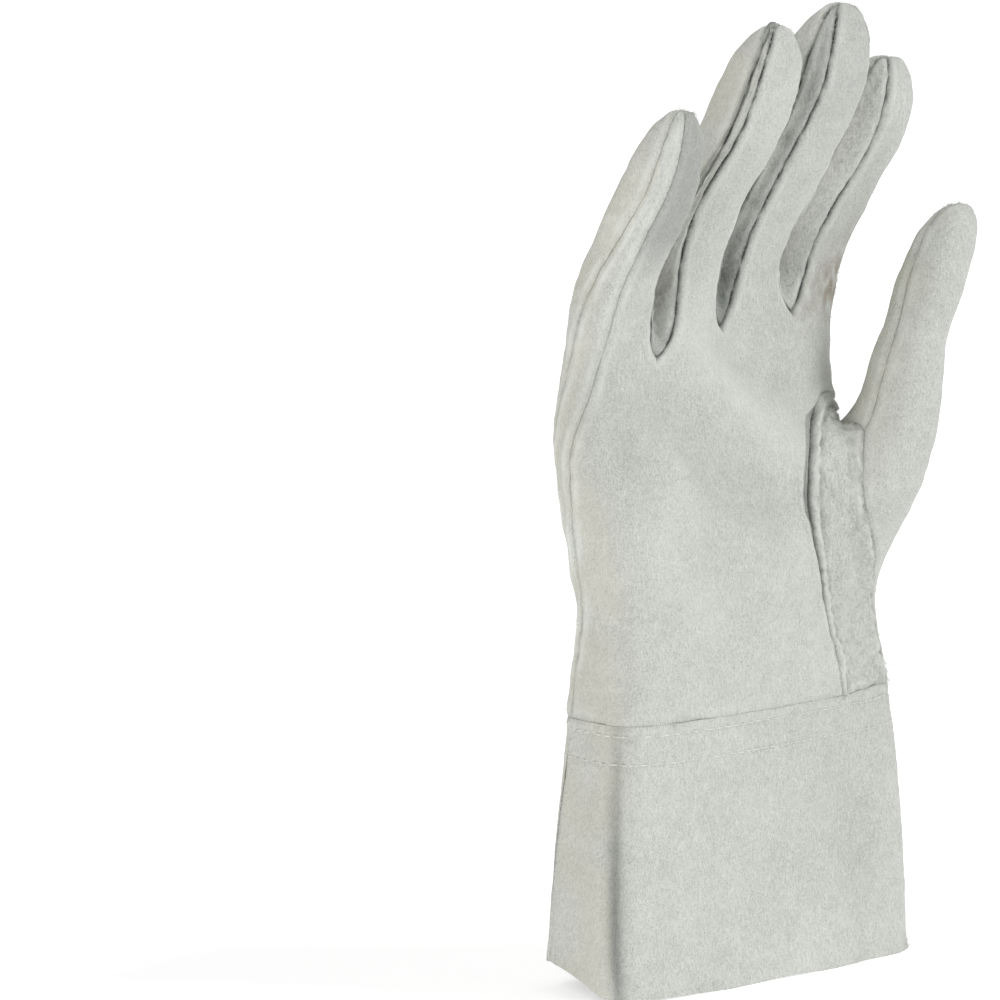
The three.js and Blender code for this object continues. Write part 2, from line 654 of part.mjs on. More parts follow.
// How far the soft folds raise or sink the surface at a point: each falls off as a bell curve from its line
const foldLines = FOLDS.map((fold) => ({
  ...fold,
  line: new THREE.Line3(
    new THREE.Vector3(...handPoint(fold.fromZ, fold.fromAngle)),
    new THREE.Vector3(...handPoint(fold.toZ, fold.toAngle)),
  ),
}));
function foldHeight(point) {
  return foldLines.reduce((sum, { line, depth, width }) => {
    const away = line.closestPointToPoint(point, true, new THREE.Vector3()).distanceTo(point) / width;
    return sum + depth * Math.exp(-away * away);
  }, 0);
}

outwardDirections().forEach((outward, id) => {
  const point = toVector(id);
  points[id] = point.addScaledVector(outward, foldHeight(point)).toArray();
});
const normals = outwardDirections();

// At a sharp corner a panel is drawn back by no more than this many times its distance from the seam
const MITRE_LIMIT = 2;

// A closed wall from a patch of faces: its edges drawn back from the seams, its outside raised if asked,
// and the leather's thickness inwards
function wallGeometry(faces, thickness, drawnBack = SEAM_GAP / 2, raised = 0) {
  const used = [...new Set(faces.flat())];
  const order = new Map(used.map((id, k) => [id, k]));
  const edges = new Map();
  const triangles = [];
  for (const face of faces) {
    const corners = face.filter((id, k) => id !== face[(k + 1) % face.length]).map((id) => order.get(id));
    for (let k = 1; k < corners.length - 1; k += 1) triangles.push([corners[0], corners[k], corners[k + 1]]);
    corners.forEach((id, k) => {
      const next = corners[(k + 1) % corners.length];
      if (edges.has(`${next},${id}`)) edges.delete(`${next},${id}`);
      else edges.set(`${id},${next}`, [id, next]);
    });
  }
  const outer = used.map(toVector);
  const pull = used.map(() => new THREE.Vector3());
  for (const [from, to] of edges.values()) {
    const along = outer[to].clone().sub(outer[from]).normalize();
    for (const id of [from, to]) {
      const inward = normals[used[id]].clone().cross(along).normalize();
      pull[id].add(inward);
    }
  }
  const count = used.length;
  const positions = [];
  outer.forEach((point, k) => {
    const step = pull[k].lengthSq() > 0 ? pull[k].clone().normalize() : pull[k];
    const wide = pull[k].lengthSq() > 0 ? Math.min(MITRE_LIMIT, 2 / pull[k].length()) : 0;
    point.add(step.multiplyScalar(wide * drawnBack));
    point.add(normals[used[k]].clone().multiplyScalar(raised));
    positions.push(point.x, point.y, point.z);
  });
  outer.forEach((point, k) => {
    const depth = thickness * (pared.get(used[k]) ?? 1) + raised;
    const inner = point.clone().sub(normals[used[k]].clone().multiplyScalar(depth));
    positions.push(inner.x, inner.y, inner.z);
  });
  const index = [];
  for (const [p, q, r] of triangles) {
    index.push(p, q, r, count + p, count + r, count + q);
  }
  for (const [from, to] of edges.values()) {
    index.push(from, count + from, count + to, from, count + to, to);
  }
  const geometry = new THREE.BufferGeometry();
  geometry.setAttribute('position', new THREE.Float32BufferAttribute(positions, 3));
  geometry.setIndex(index);
  return geometry;
}

// The leather folded into a crotch would run into the panel beside it, so it is trimmed clear of that panel
const TRIMMED = {
  fourchette_little_ring: ['back_little', 'back_ring', 'palm'],
  fourchette_ring_middle: ['back_ring', 'back_middle', 'palm'],
  fourchette_middle_index: ['back_middle', 'back_index', 'palm'],
  thumb_gusset: ['thumb_back', 'thumb_front', 'back_index', 'palm'],
  thumb_strip: ['thumb_gusset', 'thumb_back', 'thumb_front'],
  side_strip: ['palm'],
};
const TRIM_CLEARANCE = { edge: 0.11, face: 0.25, merge: 0.02, tip: 3 };

function toSolid(geometry) {
  return new wasm.Manifold(new wasm.Mesh({
    numProp: 3,
    vertProperties: new Float32Array(geometry.attributes.position.array),
    triVerts: new Uint32Array(geometry.index.array),
  }));
}

// The thumb's strip runs out to nothing behind the thumb, so its last thin point is cut off by a small ball
function crotchTip() {
  const ball = new THREE.IcosahedronGeometry(TRIM_CLEARANCE.tip);
  ball.deleteAttribute('normal');
  ball.deleteAttribute('uv');
  return mergeVertices(ball.translate(...points[crotchBehind]));
}

function trimmedGeometry(name) {
  const plain = wallGeometry(panels.get(name), LEATHER);
  if (!TRIMMED[name]) return plain;
  let solid = toSolid(plain);
  for (const other of TRIMMED[name]) {
    for (const drawnBack of [-TRIM_CLEARANCE.edge, SEAM_GAP / 2]) {
      const thickness = LEATHER + TRIM_CLEARANCE.face;
      const clear = wallGeometry(panels.get(other), thickness, drawnBack, TRIM_CLEARANCE.face);
      solid = solid.subtract(toSolid(clear));
    }
  }
  if (name === 'thumb_strip') solid = solid.subtract(toSolid(crotchTip()));
  const pieces = solid.simplify(TRIM_CLEARANCE.merge).decompose();
  const mesh = pieces.sort((p, q) => q.volume() - p.volume())[0].getMesh();
  const geometry = new THREE.BufferGeometry();
  geometry.setAttribute('position', new THREE.BufferAttribute(Float32Array.from(mesh.vertProperties), 3));
  geometry.setIndex(new THREE.BufferAttribute(Uint32Array.from(mesh.triVerts), 1));
  return geometry;
}

// How far the rim's round corner lifts a point of the cuff
function cornerRise(angle, z) {
  const { rise, angle: middle, toPalm, toBack, height } = RIM_CORNER;
  const away = (((angle - middle) % 360) + 540) % 360 - 180;
  const width = away < 0 ? toPalm : toBack;
  return rise * Math.exp(-((away / width) ** 2)) * Math.max(0, 1 - z / height) ** 2;
}

// The cuff: one tube from the rim up to the hand, open at both ends
function cuffGeometry() {
  const count = LOWER_RING.length;
  const positions = [];
  const ringAt = (z, inset) => {
    for (let j = 0; j < count; j += 1) {
      const angle = columnAngle(LOWER_RING[j], CUFF_HEIGHT);
      const raised = foldHeight(new THREE.Vector3(...handPoint(z, angle)));
      const row = rowAt(HAND, z);
      row.a += raised - inset;
      row.b += raised - inset;
      const [x, y] = sectionPoint(row, row.n, angle);
      positions.push(x, y, z + cornerRise(angle, z));
    }
  };
  const levels = [];
  for (let i = 0; i <= ROWS.cuff; i += 1) levels.push(CUFF_HEIGHT * i / ROWS.cuff);
  levels.forEach((z) => ringAt(z, 0));
  [...levels].reverse().forEach((z) => ringAt(z, CUFF_LEATHER));
  const ringCount = 2 * levels.length;
  const index = [];
  for (let i = 0; i < ringCount; i += 1) {
    const next = (i + 1) % ringCount;
    for (let j = 0; j < count; j += 1) {
      const k = (j + 1) % count;
      index.push(i * count + j, i * count + k, next * count + k);
      index.push(i * count + j, next * count + k, next * count + j);
    }
  }
  const geometry = new THREE.BufferGeometry();
  geometry.setAttribute('position', new THREE.Float32BufferAttribute(positions, 3));
  geometry.setIndex(index);
  return geometry;
}

function suede(color) {
  return new THREE.MeshStandardMaterial({ color, roughness: 0.95, metalness: 0 });
}

const SUEDE = '#c5c8c2';
const FUZZY_SUEDE = '#b7bab3';

const group = new THREE.Group();
function addMesh(name, geometry, color) {
  const mesh = new THREE.Mesh(geometry, suede(color));
  mesh.name = name;
  mesh.position.set(CENTRING.x, CENTRING.y, 0);
  group.add(mesh);
}

addMesh('cuff', cuffGeometry(), SUEDE);
for (const name of panels.keys()) {
  addMesh(name, trimmedGeometry(name), name === 'thumb_gusset' ? FUZZY_SUEDE : SUEDE);
}

export default group;
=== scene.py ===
"""A right-hand work glove in split leather, standing on the rim of its cuff.

The glove's outside is one net of four-sided faces: rings of points round the hand, round each finger and
round the thumb. The net is rounded into a smooth surface, and each sewn panel is a patch of that surface
with its edges turned in at the seams and the leather's thickness inwards. Tables are in millimetres, the
meshes in metres.
"""

import math
from functools import lru_cache

import bpy
import numpy as np
from bpy.props import FloatProperty, FloatVectorProperty, PointerProperty
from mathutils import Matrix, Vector


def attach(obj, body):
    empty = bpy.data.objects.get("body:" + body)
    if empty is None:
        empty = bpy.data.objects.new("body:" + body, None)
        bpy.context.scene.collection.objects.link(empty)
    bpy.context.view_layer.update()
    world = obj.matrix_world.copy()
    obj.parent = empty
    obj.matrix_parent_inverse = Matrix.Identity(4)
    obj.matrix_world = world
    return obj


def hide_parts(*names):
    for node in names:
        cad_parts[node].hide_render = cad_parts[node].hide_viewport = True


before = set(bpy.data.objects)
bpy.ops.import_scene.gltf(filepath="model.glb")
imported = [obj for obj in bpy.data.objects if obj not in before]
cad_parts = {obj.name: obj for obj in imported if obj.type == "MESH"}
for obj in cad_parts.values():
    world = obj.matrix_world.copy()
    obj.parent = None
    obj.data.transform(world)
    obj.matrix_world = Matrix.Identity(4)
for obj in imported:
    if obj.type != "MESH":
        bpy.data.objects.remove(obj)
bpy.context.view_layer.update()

bl_info = {
    "name": "Split leather work glove",
    "version": (1, 0, 0),
    "blender": (4, 5, 0),
    "location": "3D View > Sidebar > Glove",
    "description": "Builds a work glove in split leather from its sewn panels",
    "category": "Object",
}

MM = 0.001

# Sizes of the hand and its net, in millimetres
CUFF_HEIGHT = 73
SEAM_GAP = 0.3
CENTRING = np.array([-5.19, 3.89, 0])
# The rim's corner on the little finger's side is cut round: how far it rises, at which angle round the hand,
# over how many degrees to the palm and to the back, and up to which height the cuff follows it
RIM_CORNER = {"rise": 8, "angle": -161, "to_palm": 30, "to_back": 36, "height": 30}
ACROSS = {"finger": 4, "side": 3, "radial": 2, "gusset": 4, "thumb": 4, "strip": 4}
ROWS = {"cuff": 5, "wrist": 9, "knuckles": 4}

# The hand's cross-section by height: centre, half width, half depth, squareness and turn in degrees
HAND = np.array([
    # z, x, y, a, b, n, turn
    (0, 0.5, 0, 55.5, 18, 4.6, -8),
    (36, 0.5, 0, 54, 17.5, 4.4, -7),
    (73, 0, 0, 51.5, 17.5, 3.8, -4),
    (100, -0.5, 2, 50.5, 18, 3, 0),
    (122, -1.8, 5, 53.6, 18.5, 2.8, 3),
    (146, -3, 8.5, 57, 17.5, 2.8, 5),
    (168, -4, 10, 59, 16, 2.7, 6),
    (192, -4, 8, 58.5, 14, 2.5, 6),
])

# Soft folds: a line from one height and angle to another, a depth and how far the fold reaches
FOLDS = np.array([
    # from_z, from_angle, to_z, to_angle, depth, width
    (174, 112, 138, 78, 2.4, 8),
    (158, 122, 124, 88, -2.4, 8),
    (163, 156, 138, 138, -2.2, 7),
    (132, 128, 100, 118, 1.6, 9),
    (112, 82, 84, 86, 1.4, 8),
    (170, 262, 128, 256, -1.2, 9),
    (60, 262, 6, 256, -2.2, 11),
    (58, 78, 4, 66, -1.4, 12),
])

# Seams as angles round the hand, at the cuff seam, at the thumb's root and at the knuckles.
# 0 is the thumb side, 90 the palm, 180 the little-finger side and 270 the back.
SEAMS = {
    "strip_front": (197, 186, 170),
    "little_ring": (122, 121, 118),
    "ring_middle": (100, 97, 95),
    "middle_index": (86, 78, 72),
    "palm_edge": (75, 77, 44),
    "thumb_front_edge": (22, 28, 20),
    "thumb_side": (2, 4, 0),
    "thumb_back_edge": (-30, -12, -20),
    "back_index_edge": (-30, -12, -40),
    "back_middle_index": (-68, -70, -73),
    "back_ring_middle": (-90, -92, -94),
    "back_little_ring": (-117, -118, -120),
    "strip_back": (-146, -156, -170),
}
FRONT_SEAMS = ["strip_front", "little_ring", "ring_middle", "middle_index", "palm_edge"]
BACK_SEAMS = ["back_index_edge", "back_middle_index", "back_ring_middle", "back_little_ring", "strip_back"]

# Each finger by height: centre, half width and half depth. The last row is the tip.
FINGERS = {
    # z, x, y, a, b
    "little": np.array([
        (160, -46, 6, 13, 12.5), (183, -48.5, 2.5, 12.4, 10.6), (199, -48.8, -7, 11.4, 9.6),
        (214, -50.4, -18, 10.2, 8.8), (233.5, -52.8, -27.5, 8, 6.8)]),
    "ring": np.array([
        (160, -22, 8, 13.5, 14), (190, -21, 2, 12.3, 11), (206, -20.3, -4.5, 12.2, 10.4),
        (228, -18.6, -19, 12, 9.6), (253.5, -18.4, -29.6, 10.6, 8.2)]),
    "middle": np.array([
        (160, 5, 11, 14, 15), (187, 6, 7, 13.6, 12), (211, 7, -6.5, 13.8, 11),
        (234, 9.5, -19.5, 13.8, 10), (258, 11.2, -26, 12.2, 8.6)]),
    "index": np.array([
        (160, 35, 13, 17, 14.5), (184, 38, 12.5, 15.4, 12), (201, 38, 3.4, 14.6, 11.2),
        (220, 38.6, -9.8, 12.8, 10.4), (243, 39.6, -19, 12, 8.8)]),
    "thumb": np.array([
        (84, 32, 1, 20, 16), (110, 42, -8.5, 18.5, 15.5), (128, 44, -14, 15.2, 13.6),
        (147, 48.8, -19, 13.2, 12.2), (165, 52.8, -20.6, 12.2, 11.2), (185, 58.4, -23, 11.4, 10.2),
        (202.5, 62, -26.2, 9.8, 8.4)]),
}
HAND_FINGERS = ["little", "ring", "middle", "index"]

# How each finger is sewn: where its front and its back start and end round it, rows, dome height and root
SEWN = {
    "little": {"front": (116, 46), "back": (10, -204), "rows": 8, "dome": 14, "root": 172},
    "ring": {"front": (134, 46), "back": (10, -209), "rows": 9, "dome": 16, "root": 176},
    "middle": {"front": (126, 46), "back": (10, -198), "rows": 9, "dome": 17, "root": 178},
    "index": {"front": (112, 16), "back": (16, -190), "rows": 8, "dome": 16, "root": 180},
    "thumb": {"front": (206, -8), "back": (-8, -112), "rows": 6, "dome": 16, "root": 146},
}
THUMB_FRONT_START = np.array([
    # z, angle
    (84, 70), (108, 102), (116, 124), (124, 146), (132, 166), (143, 206),
])
FINGER_SQUARENESS = 2.3
DOME_ANGLES = (24, 44, 61, 76)
DOME_FULLNESS = 1.85
TIP_WIDTH = 0.14
TIP_LINE = {"width": 0.16, "bow": 0.7}
CROTCH_FRONT = (176, 161, 170, 171, 172)
# How far the crotches stand aside from the middle between two fingers, on the palm
CROTCH_ASIDE = (0, -4, -2.5, 3.5, 0)
CROTCH_BACK = (178, 182, 188, 186, 176)
THUMB_CROTCH = {"palm": 146, "front": 157, "thumb": 143, "back": 137}
# Between the thumb's root and the knuckles the seams swing over to the fingers
THUMB_ROOT = 146
KNUCKLE_HEIGHT = 166
THUMB_GROWTH = {"from": 76, "to": 142, "behind": 0.45, "sharpness": 1.5}
KNUCKLE_BLEND = {"below": 30, "above": 16}
KNUCKLE_SMOOTHING = {"rounds": 8, "amount": 0.4, "z": 166, "reach": 40}
WEB_SMOOTHING = {"rounds": 6, "amount": 0.35, "z": 144, "reach": 18, "x": 38, "y": -4, "radius": 26}

PALM_COUNT = len(HAND_FINGERS) * ACROSS["finger"]
THUMB_START = PALM_COUNT + ACROSS["gusset"]
THUMB_END = THUMB_START + 2 * ACROSS["thumb"]
LOWER_STRIP = THUMB_END + PALM_COUNT
LOWER_COUNT = LOWER_STRIP + ACROSS["side"]
BACK_START = PALM_COUNT + ACROSS["strip"]
UPPER_STRIP = BACK_START + PALM_COUNT
UPPER_COUNT = UPPER_STRIP + ACROSS["side"]


def mix(p, q, t):
    """p + (q - p) t."""
    return p + (q - p) * t


def smooth(low, high, value):
    """0 below low, 1 above high, and 3t^2 - 2t^3 between them."""
    t = np.clip((value - low) / (high - low), 0, 1)
    return t * t * (3 - 2 * t)


def rows_at(table, z):
    """A table's other columns at heights z, on cubic Hermite curves through its rows. The slope at a row is
    the rise between the rows on both sides of it over their distance."""
    knots = table[:, 0].astype(float)
    last = len(knots) - 1
    z = np.asarray(z, float)
    k = np.searchsorted(knots[1:last], z, side="left")
    before, after = np.maximum(k - 1, 0), np.minimum(k + 2, last)
    span = knots[k + 1] - knots[k]
    t = np.clip((z - knots[k]) / span, 0, 1)[..., None]
    start = (table[k + 1] - table[before]) * (span / (knots[k + 1] - knots[before]))[..., None]
    end = (table[after] - table[k]) * (span / (knots[after] - knots[k]))[..., None]
    rows = ((2 * t**3 - 3 * t**2 + 1) * table[k] + (t**3 - 2 * t**2 + t) * start
            + (3 * t**2 - 2 * t**3) * table[k + 1] + (t**3 - t**2) * end)
    return rows[..., 1:]


def section_points(x, y, a, b, n, turn, degrees, z):
    """Points on rounded sections: a superellipse |x/a|^n + |y/b|^n = 1 at an angle, turned and moved."""
    c, s = np.cos(np.radians(degrees)), np.sin(np.radians(degrees))
    across = np.sign(c) * np.abs(c) ** (2 / n) * a
    deep = -np.sign(s) * np.abs(s) ** (2 / n) * b
    ct, st = np.cos(np.radians(turn)), np.sin(np.radians(turn))
    places = (x + across * ct - deep * st, y + across * st + deep * ct, z + 0 * across)
    return np.stack(places, axis=-1)


def hand_points(z, degrees):
    """Points of the hand's section at heights z and angles round it."""
    x, y, a, b, n, turn = np.moveaxis(rows_at(HAND, z), -1, 0)
    return section_points(x, y, a, b, n, turn, degrees, np.asarray(z, float))


def finger_points(name, z, degrees, width=1.0, depth=1.0):
    """Points of a finger's own section, its half width and half depth scaled by width and depth."""
    x, y, a, b = np.moveaxis(rows_at(FINGERS[name], z), -1, 0)
    return section_points(x, y, a * width, b * depth, FINGER_SQUARENESS, 0, degrees, np.asarray(z, float))


def seam_angles(names, z):
    """Angles of seams at heights z: from the cuff seam's value to the thumb root's to the knuckles'."""
    low, middle, high = np.array([SEAMS[name] for name in names], float).T
    lower_part = mix(low, middle, smooth(CUFF_HEIGHT, THUMB_ROOT, z))
    return mix(lower_part, high, smooth(THUMB_ROOT, KNUCKLE_HEIGHT, z))


def ring_columns(stretches):
    """Where each column of a ring stands: the seams on both sides of it and its share of the way."""
    starts, stops, shares = [], [], []
    for start, stop, count in stretches:
        starts += [start] * count
        stops += [stop] * count
        shares += [k / count for k in range(count)]
    return starts, stops, np.array(shares)


def finger_stretches(seams):
    return [(seams[k], seams[k + 1], ACROSS["finger"]) for k in range(len(seams) - 1)]


LOWER_RING = ring_columns(
    finger_stretches(FRONT_SEAMS)
    + [("palm_edge", "thumb_front_edge", ACROSS["gusset"]),
       ("thumb_front_edge", "thumb_side", ACROSS["thumb"]),
       ("thumb_side", "thumb_back_edge", ACROSS["thumb"])]
    + finger_stretches(BACK_SEAMS)
    + [("strip_back", "strip_front", ACROSS["side"])])
UPPER_RING = ring_columns(
    finger_stretches(FRONT_SEAMS)
    + [("palm_edge", "back_index_edge", ACROSS["strip"])]
    + finger_stretches(BACK_SEAMS)
    + [("strip_back", "strip_front", ACROSS["side"])])


def column_angles(ring, columns, z):
    """Angles round the hand of a ring's columns at heights z, going down from 180 to -180 degrees."""
    starts, stops, shares = ring
    columns = columns % len(starts)
    begin = seam_angles([starts[k] for k in columns], z)
    end = seam_angles([stops[k] for k in columns], z)
    return mix(begin, np.where(end > begin, end - 360, end), shares[columns])


def lower_points(columns, z):
    """Points of the hand below the thumb's crotch, whose section turns into the thumb's on its way up."""
    on_hand = hand_points(z, column_angles(LOWER_RING, columns, z))
    count = ACROSS["thumb"]
    front, back = SEWN["thumb"]["front"], SEWN["thumb"]["back"]
    begin = rows_at(THUMB_FRONT_START, z)[..., 0]
    place = (columns - THUMB_START) / count
    angle = np.where(place < 1, mix(begin, front[1], place), mix(back[0], back[1], place - 1))
    behind = np.clip(place - 1, 0, 1) ** THUMB_GROWTH["sharpness"]
    share = smooth(THUMB_GROWTH["from"], THUMB_GROWTH["to"], z) * mix(1, THUMB_GROWTH["behind"], behind)
    share = np.where((place >= 0) & (place <= 2), share, 0)[:, None]
    return mix(on_hand, finger_points("thumb", z, angle), share)


def lower_heights(columns, share):
    """Heights of a ring: level at the cuff seam, and tilted like the thumb's crotch at the top."""
    palm, front, thumb, back = (THUMB_CROTCH[side] for side in ("palm", "front", "thumb", "back"))
    on_palm = mix(palm, front, (columns / PALM_COUNT) ** 2)
    on_thumb = mix(thumb, back, (columns - THUMB_START) / (THUMB_END - THUMB_START))
    behind = mix(back, palm, (columns - THUMB_END) / (LOWER_COUNT - THUMB_END))
    on_gusset = mix(front, thumb, (columns - PALM_COUNT) / ACROSS["gusset"])
    top = np.select([columns <= PALM_COUNT, columns < THUMB_START, columns <= THUMB_END],
                    [on_palm, on_gusset, on_thumb], behind)
    return mix(CUFF_HEIGHT + SEAM_GAP, top, share)


def crotch_heights(columns):
    """Heights where the hand's columns end in the fingers: straight from one crotch to the next."""
    places = [k * ACROSS["finger"] for k in range(5)]
    places += [BACK_START + k * ACROSS["finger"] for k in range(5)] + [UPPER_COUNT]
    heights = list(CROTCH_FRONT) + list(CROTCH_BACK[::-1]) + [CROTCH_FRONT[0]]
    return np.interp(columns, places, heights)


def wide_count(name):
    return ACROSS["finger"] + (ACROSS["radial"] if name == "index" else 0)


def angles_on_finger(name, columns):
    """Angles round a finger's own section for columns of the hand's ring."""
    front, back = SEWN[name]["front"], SEWN[name]["back"]
    f, count, wide = HAND_FINGERS.index(name), ACROSS["finger"], wide_count(name)
    on_front = mix(front[0], front[1], (columns - f * count) / wide)
    back_end = BACK_START + (4 - f) * count
    on_back = mix(back[1], back[0], (back_end - columns) / wide)
    on_side = mix(back[1], front[0] - 360, (columns - UPPER_STRIP) / ACROSS["side"])
    last_front = PALM_COUNT + (ACROSS["radial"] if name == "index" else 0)
    return np.select([columns <= last_front, columns <= UPPER_STRIP], [on_front, on_back], on_side)


def finger_shares(columns):
    """For each finger, how much of each column of the hand belongs to it: a column between two is shared."""
    front = columns / ACROSS["finger"]
    back = 4 - (columns - BACK_START) / ACROSS["finger"]
    place = np.select([columns > UPPER_STRIP, columns > BACK_START, columns > PALM_COUNT],
                      [0.5, back, 3.5], front)
    shares = np.array([(place > f) & (place < f + 1) for f in range(4)], float)
    edges = np.array([(place == f) | (place == f + 1) for f in range(4)], float)
    shares += edges / edges.sum(0).clip(1)
    return shares


def upper_points(columns, z):
    """Points of the hand above the thumb, whose section turns into the fingers' sections on its way up."""
    on_hand = hand_points(z, column_angles(UPPER_RING, columns, z))
    total = np.zeros_like(on_hand)
    for name, share in zip(HAND_FINGERS, finger_shares(columns)):
        root = SEWN[name]["root"]
        turned = smooth(root - KNUCKLE_BLEND["below"], root + KNUCKLE_BLEND["above"], z)[:, None]
        own = finger_points(name, z, angles_on_finger(name, columns))
        total += mix(on_hand, own, turned) * share[:, None]
    places = [k * ACROSS["finger"] for k in range(5)]
    aside = np.interp(columns, places, CROTCH_ASIDE, right=0)
    total[:, 0] += aside * smooth(KNUCKLE_HEIGHT - KNUCKLE_BLEND["below"], KNUCKLE_HEIGHT, z)
    return total


class Net:
    """The glove's net: points, and grids of point numbers that share points where they meet."""

    def __init__(self):
        self.points = np.zeros((0, 3))
        self.grids = {}
        self.patches = []

    def add(self, points):
        start = len(self.points)
        self.points = np.vstack([self.points, points])
        return np.arange(start, len(self.points))

    def patch(self, panel, grid, first, last):
        self.patches.append((panel, grid, first, last))


def closed(row):
    return np.append(row, row[0])


def corner_rise(angles, z):
    """How far the rim's round corner lifts the cuff: a bell curve round the hand, times the square of the
    share of its height that lies above."""
    away = (angles - RIM_CORNER["angle"] + 180) % 360 - 180
    width = np.where(away < 0, RIM_CORNER["to_palm"], RIM_CORNER["to_back"])
    share = np.clip(1 - z / RIM_CORNER["height"], 0, None) ** 2
    return RIM_CORNER["rise"] * np.exp(-(away / width) ** 2) * share


def cuff_and_wrist(net):
    """Rings from the rim up to the thumb's crotch. The thumb's gusset runs straight between its edges."""
    columns = np.arange(LOWER_COUNT)
    angles = column_angles(LOWER_RING, columns, np.full(LOWER_COUNT, float(CUFF_HEIGHT)))
    cuff = []
    for i in range(ROWS["cuff"]):
        level = np.full(LOWER_COUNT, CUFF_HEIGHT * i / ROWS["cuff"])
        ring = hand_points(level, angles)
        ring[:, 2] += corner_rise(angles, level)
        cuff.append(closed(net.add(ring)))
    lower = []
    for i in range(ROWS["wrist"] + 1):
        z = lower_heights(columns, i / ROWS["wrist"])
        points = lower_points(columns, z)
        inside = np.arange(PALM_COUNT + 1, THUMB_START)
        share = ((inside - PALM_COUNT) / ACROSS["gusset"])[:, None]
        left = lower_points(np.full(len(inside), PALM_COUNT), z[inside])
        right = lower_points(np.full(len(inside), THUMB_START), z[inside])
        points[inside] = mix(left, right, share)
        lower.append(closed(net.add(points)))
    net.grids["cuff"] = np.array(cuff + [lower[0]])
    net.grids["lower"] = np.array(lower)


def thumb_web(net):
    """Rows from the gusset's top edge back to the crotch behind the thumb, where they all meet."""
    top = net.grids["lower"][-1]
    behind = top[THUMB_END]
    web = [top[PALM_COUNT:THUMB_START + 1]]
    across = (np.arange(ACROSS["gusset"] + 1) / ACROSS["gusset"])[:, None]
    for i in range(1, ACROSS["strip"]):
        share = i / ACROSS["strip"]
        z = np.array([mix(THUMB_CROTCH["front"], THUMB_CROTCH["back"], share)])
        hand_angle = mix(seam_angles(["palm_edge"], z), seam_angles(["back_index_edge"], z), share)
        thumb_z = np.array([mix(THUMB_CROTCH["thumb"], THUMB_CROTCH["back"], share)])
        thumb_angle = mix(SEWN["thumb"]["front"][0], SEWN["thumb"]["back"][1] + 360, share)
        row = mix(hand_points(z, hand_angle), finger_points("thumb", thumb_z, thumb_angle), across)
        web.append(net.add(mix(row, net.points[behind], share**3)))
    web.append(np.full(ACROSS["gusset"] + 1, behind))
    net.grids["web"] = np.array(web)


def knuckles(net):
    """Rings from the thumb's crotch up to the crotches of the fingers."""
    top, web = net.grids["lower"][-1], net.grids["web"]
    first = np.concatenate([top[:PALM_COUNT + 1], web[1:-1, 0], top[THUMB_END:LOWER_COUNT]])
    columns = np.arange(UPPER_COUNT)
    upper = [closed(first)]
    for i in range(1, ROWS["knuckles"] + 1):
        z = mix(net.points[first][:, 2], crotch_heights(columns), i / ROWS["knuckles"])
        upper.append(closed(net.add(upper_points(columns, z))))
    net.grids["upper"] = np.array(upper)


def finger_saddles(net):
    """The short lines through the crotches between two fingers, from the palm to the back."""
    top = net.grids["upper"][-1]
    t = np.arange(1, ACROSS["side"]) / ACROSS["side"]
    saddles = []
    for f, (name, following) in enumerate(zip(HAND_FINGERS, HAND_FINGERS[1:])):
        front = top[(f + 1) * ACROSS["finger"]]
        back = top[BACK_START + (3 - f) * ACROSS["finger"]]
        z = mix(net.points[front][2], net.points[back][2], t)
        this_angle = mix(SEWN[name]["front"][1], SEWN[name]["back"][0], t)
        next_angle = mix(SEWN[following]["front"][0] - 360, SEWN[following]["back"][1], t)
        this, other = finger_points(name, z, this_angle), finger_points(following, z, next_angle)
        saddles.append(net.add((this + other) / 2))
    return saddles


def finger_tube(net, name, root, angles, hand_columns, count):
    """Rings from a finger's root to the short bowed line across its tip. Near the root a ring still follows
    the hand's section along the same column, and the last rings are a dome: the depth falls as a cosine and
    the width as the square root of one less the height's power."""
    sewn = SEWN[name]
    tip = FINGERS[name][-1, 0]
    shoulder = tip - sewn["dome"]
    grid = [closed(root)]
    start = net.points[root][:, 2]
    beside = hand_columns >= 0
    for i in range(1, sewn["rows"] + 1):
        z = mix(start, shoulder, i / sewn["rows"])
        points = finger_points(name, z, angles)
        if beside.any():
            columns, level = hand_columns[beside], z[beside]
            on_hand = hand_points(level, column_angles(UPPER_RING, columns, level))
            low, high = sewn["root"] - KNUCKLE_BLEND["below"], sewn["root"] + KNUCKLE_BLEND["above"]
            points[beside] = mix(on_hand, points[beside], smooth(low, high, level)[:, None])
        grid.append(closed(net.add(points)))
    for degrees in DOME_ANGLES:
        rise = math.sin(math.radians(degrees))
        width = TIP_WIDTH + (1 - TIP_WIDTH) * math.sqrt(1 - rise**DOME_FULLNESS)
        z = np.full(len(angles), shoulder + sewn["dome"] * rise)
        points = finger_points(name, z, angles, width, math.cos(math.radians(degrees)))
        grid.append(closed(net.add(points)))
    x, y, a, _ = rows_at(FINGERS[name], np.array(float(tip)))
    side = -np.cos(np.pi * np.arange(count + 1) / count)
    places = (x + side * TIP_LINE["width"] * a, y + 0 * side, tip - TIP_LINE["bow"] * side**2)
    line = net.add(np.stack(places, axis=-1))
    back_start = count + (0 if name in ("index", "thumb") else ACROSS["side"])
    j = np.arange(len(angles) + 1)
    on_back = np.maximum(0, count - np.maximum(0, j - back_start))
    grid.append(line[np.where(j < back_start, np.minimum(j, count), on_back)])
    net.grids[name] = np.array(grid)


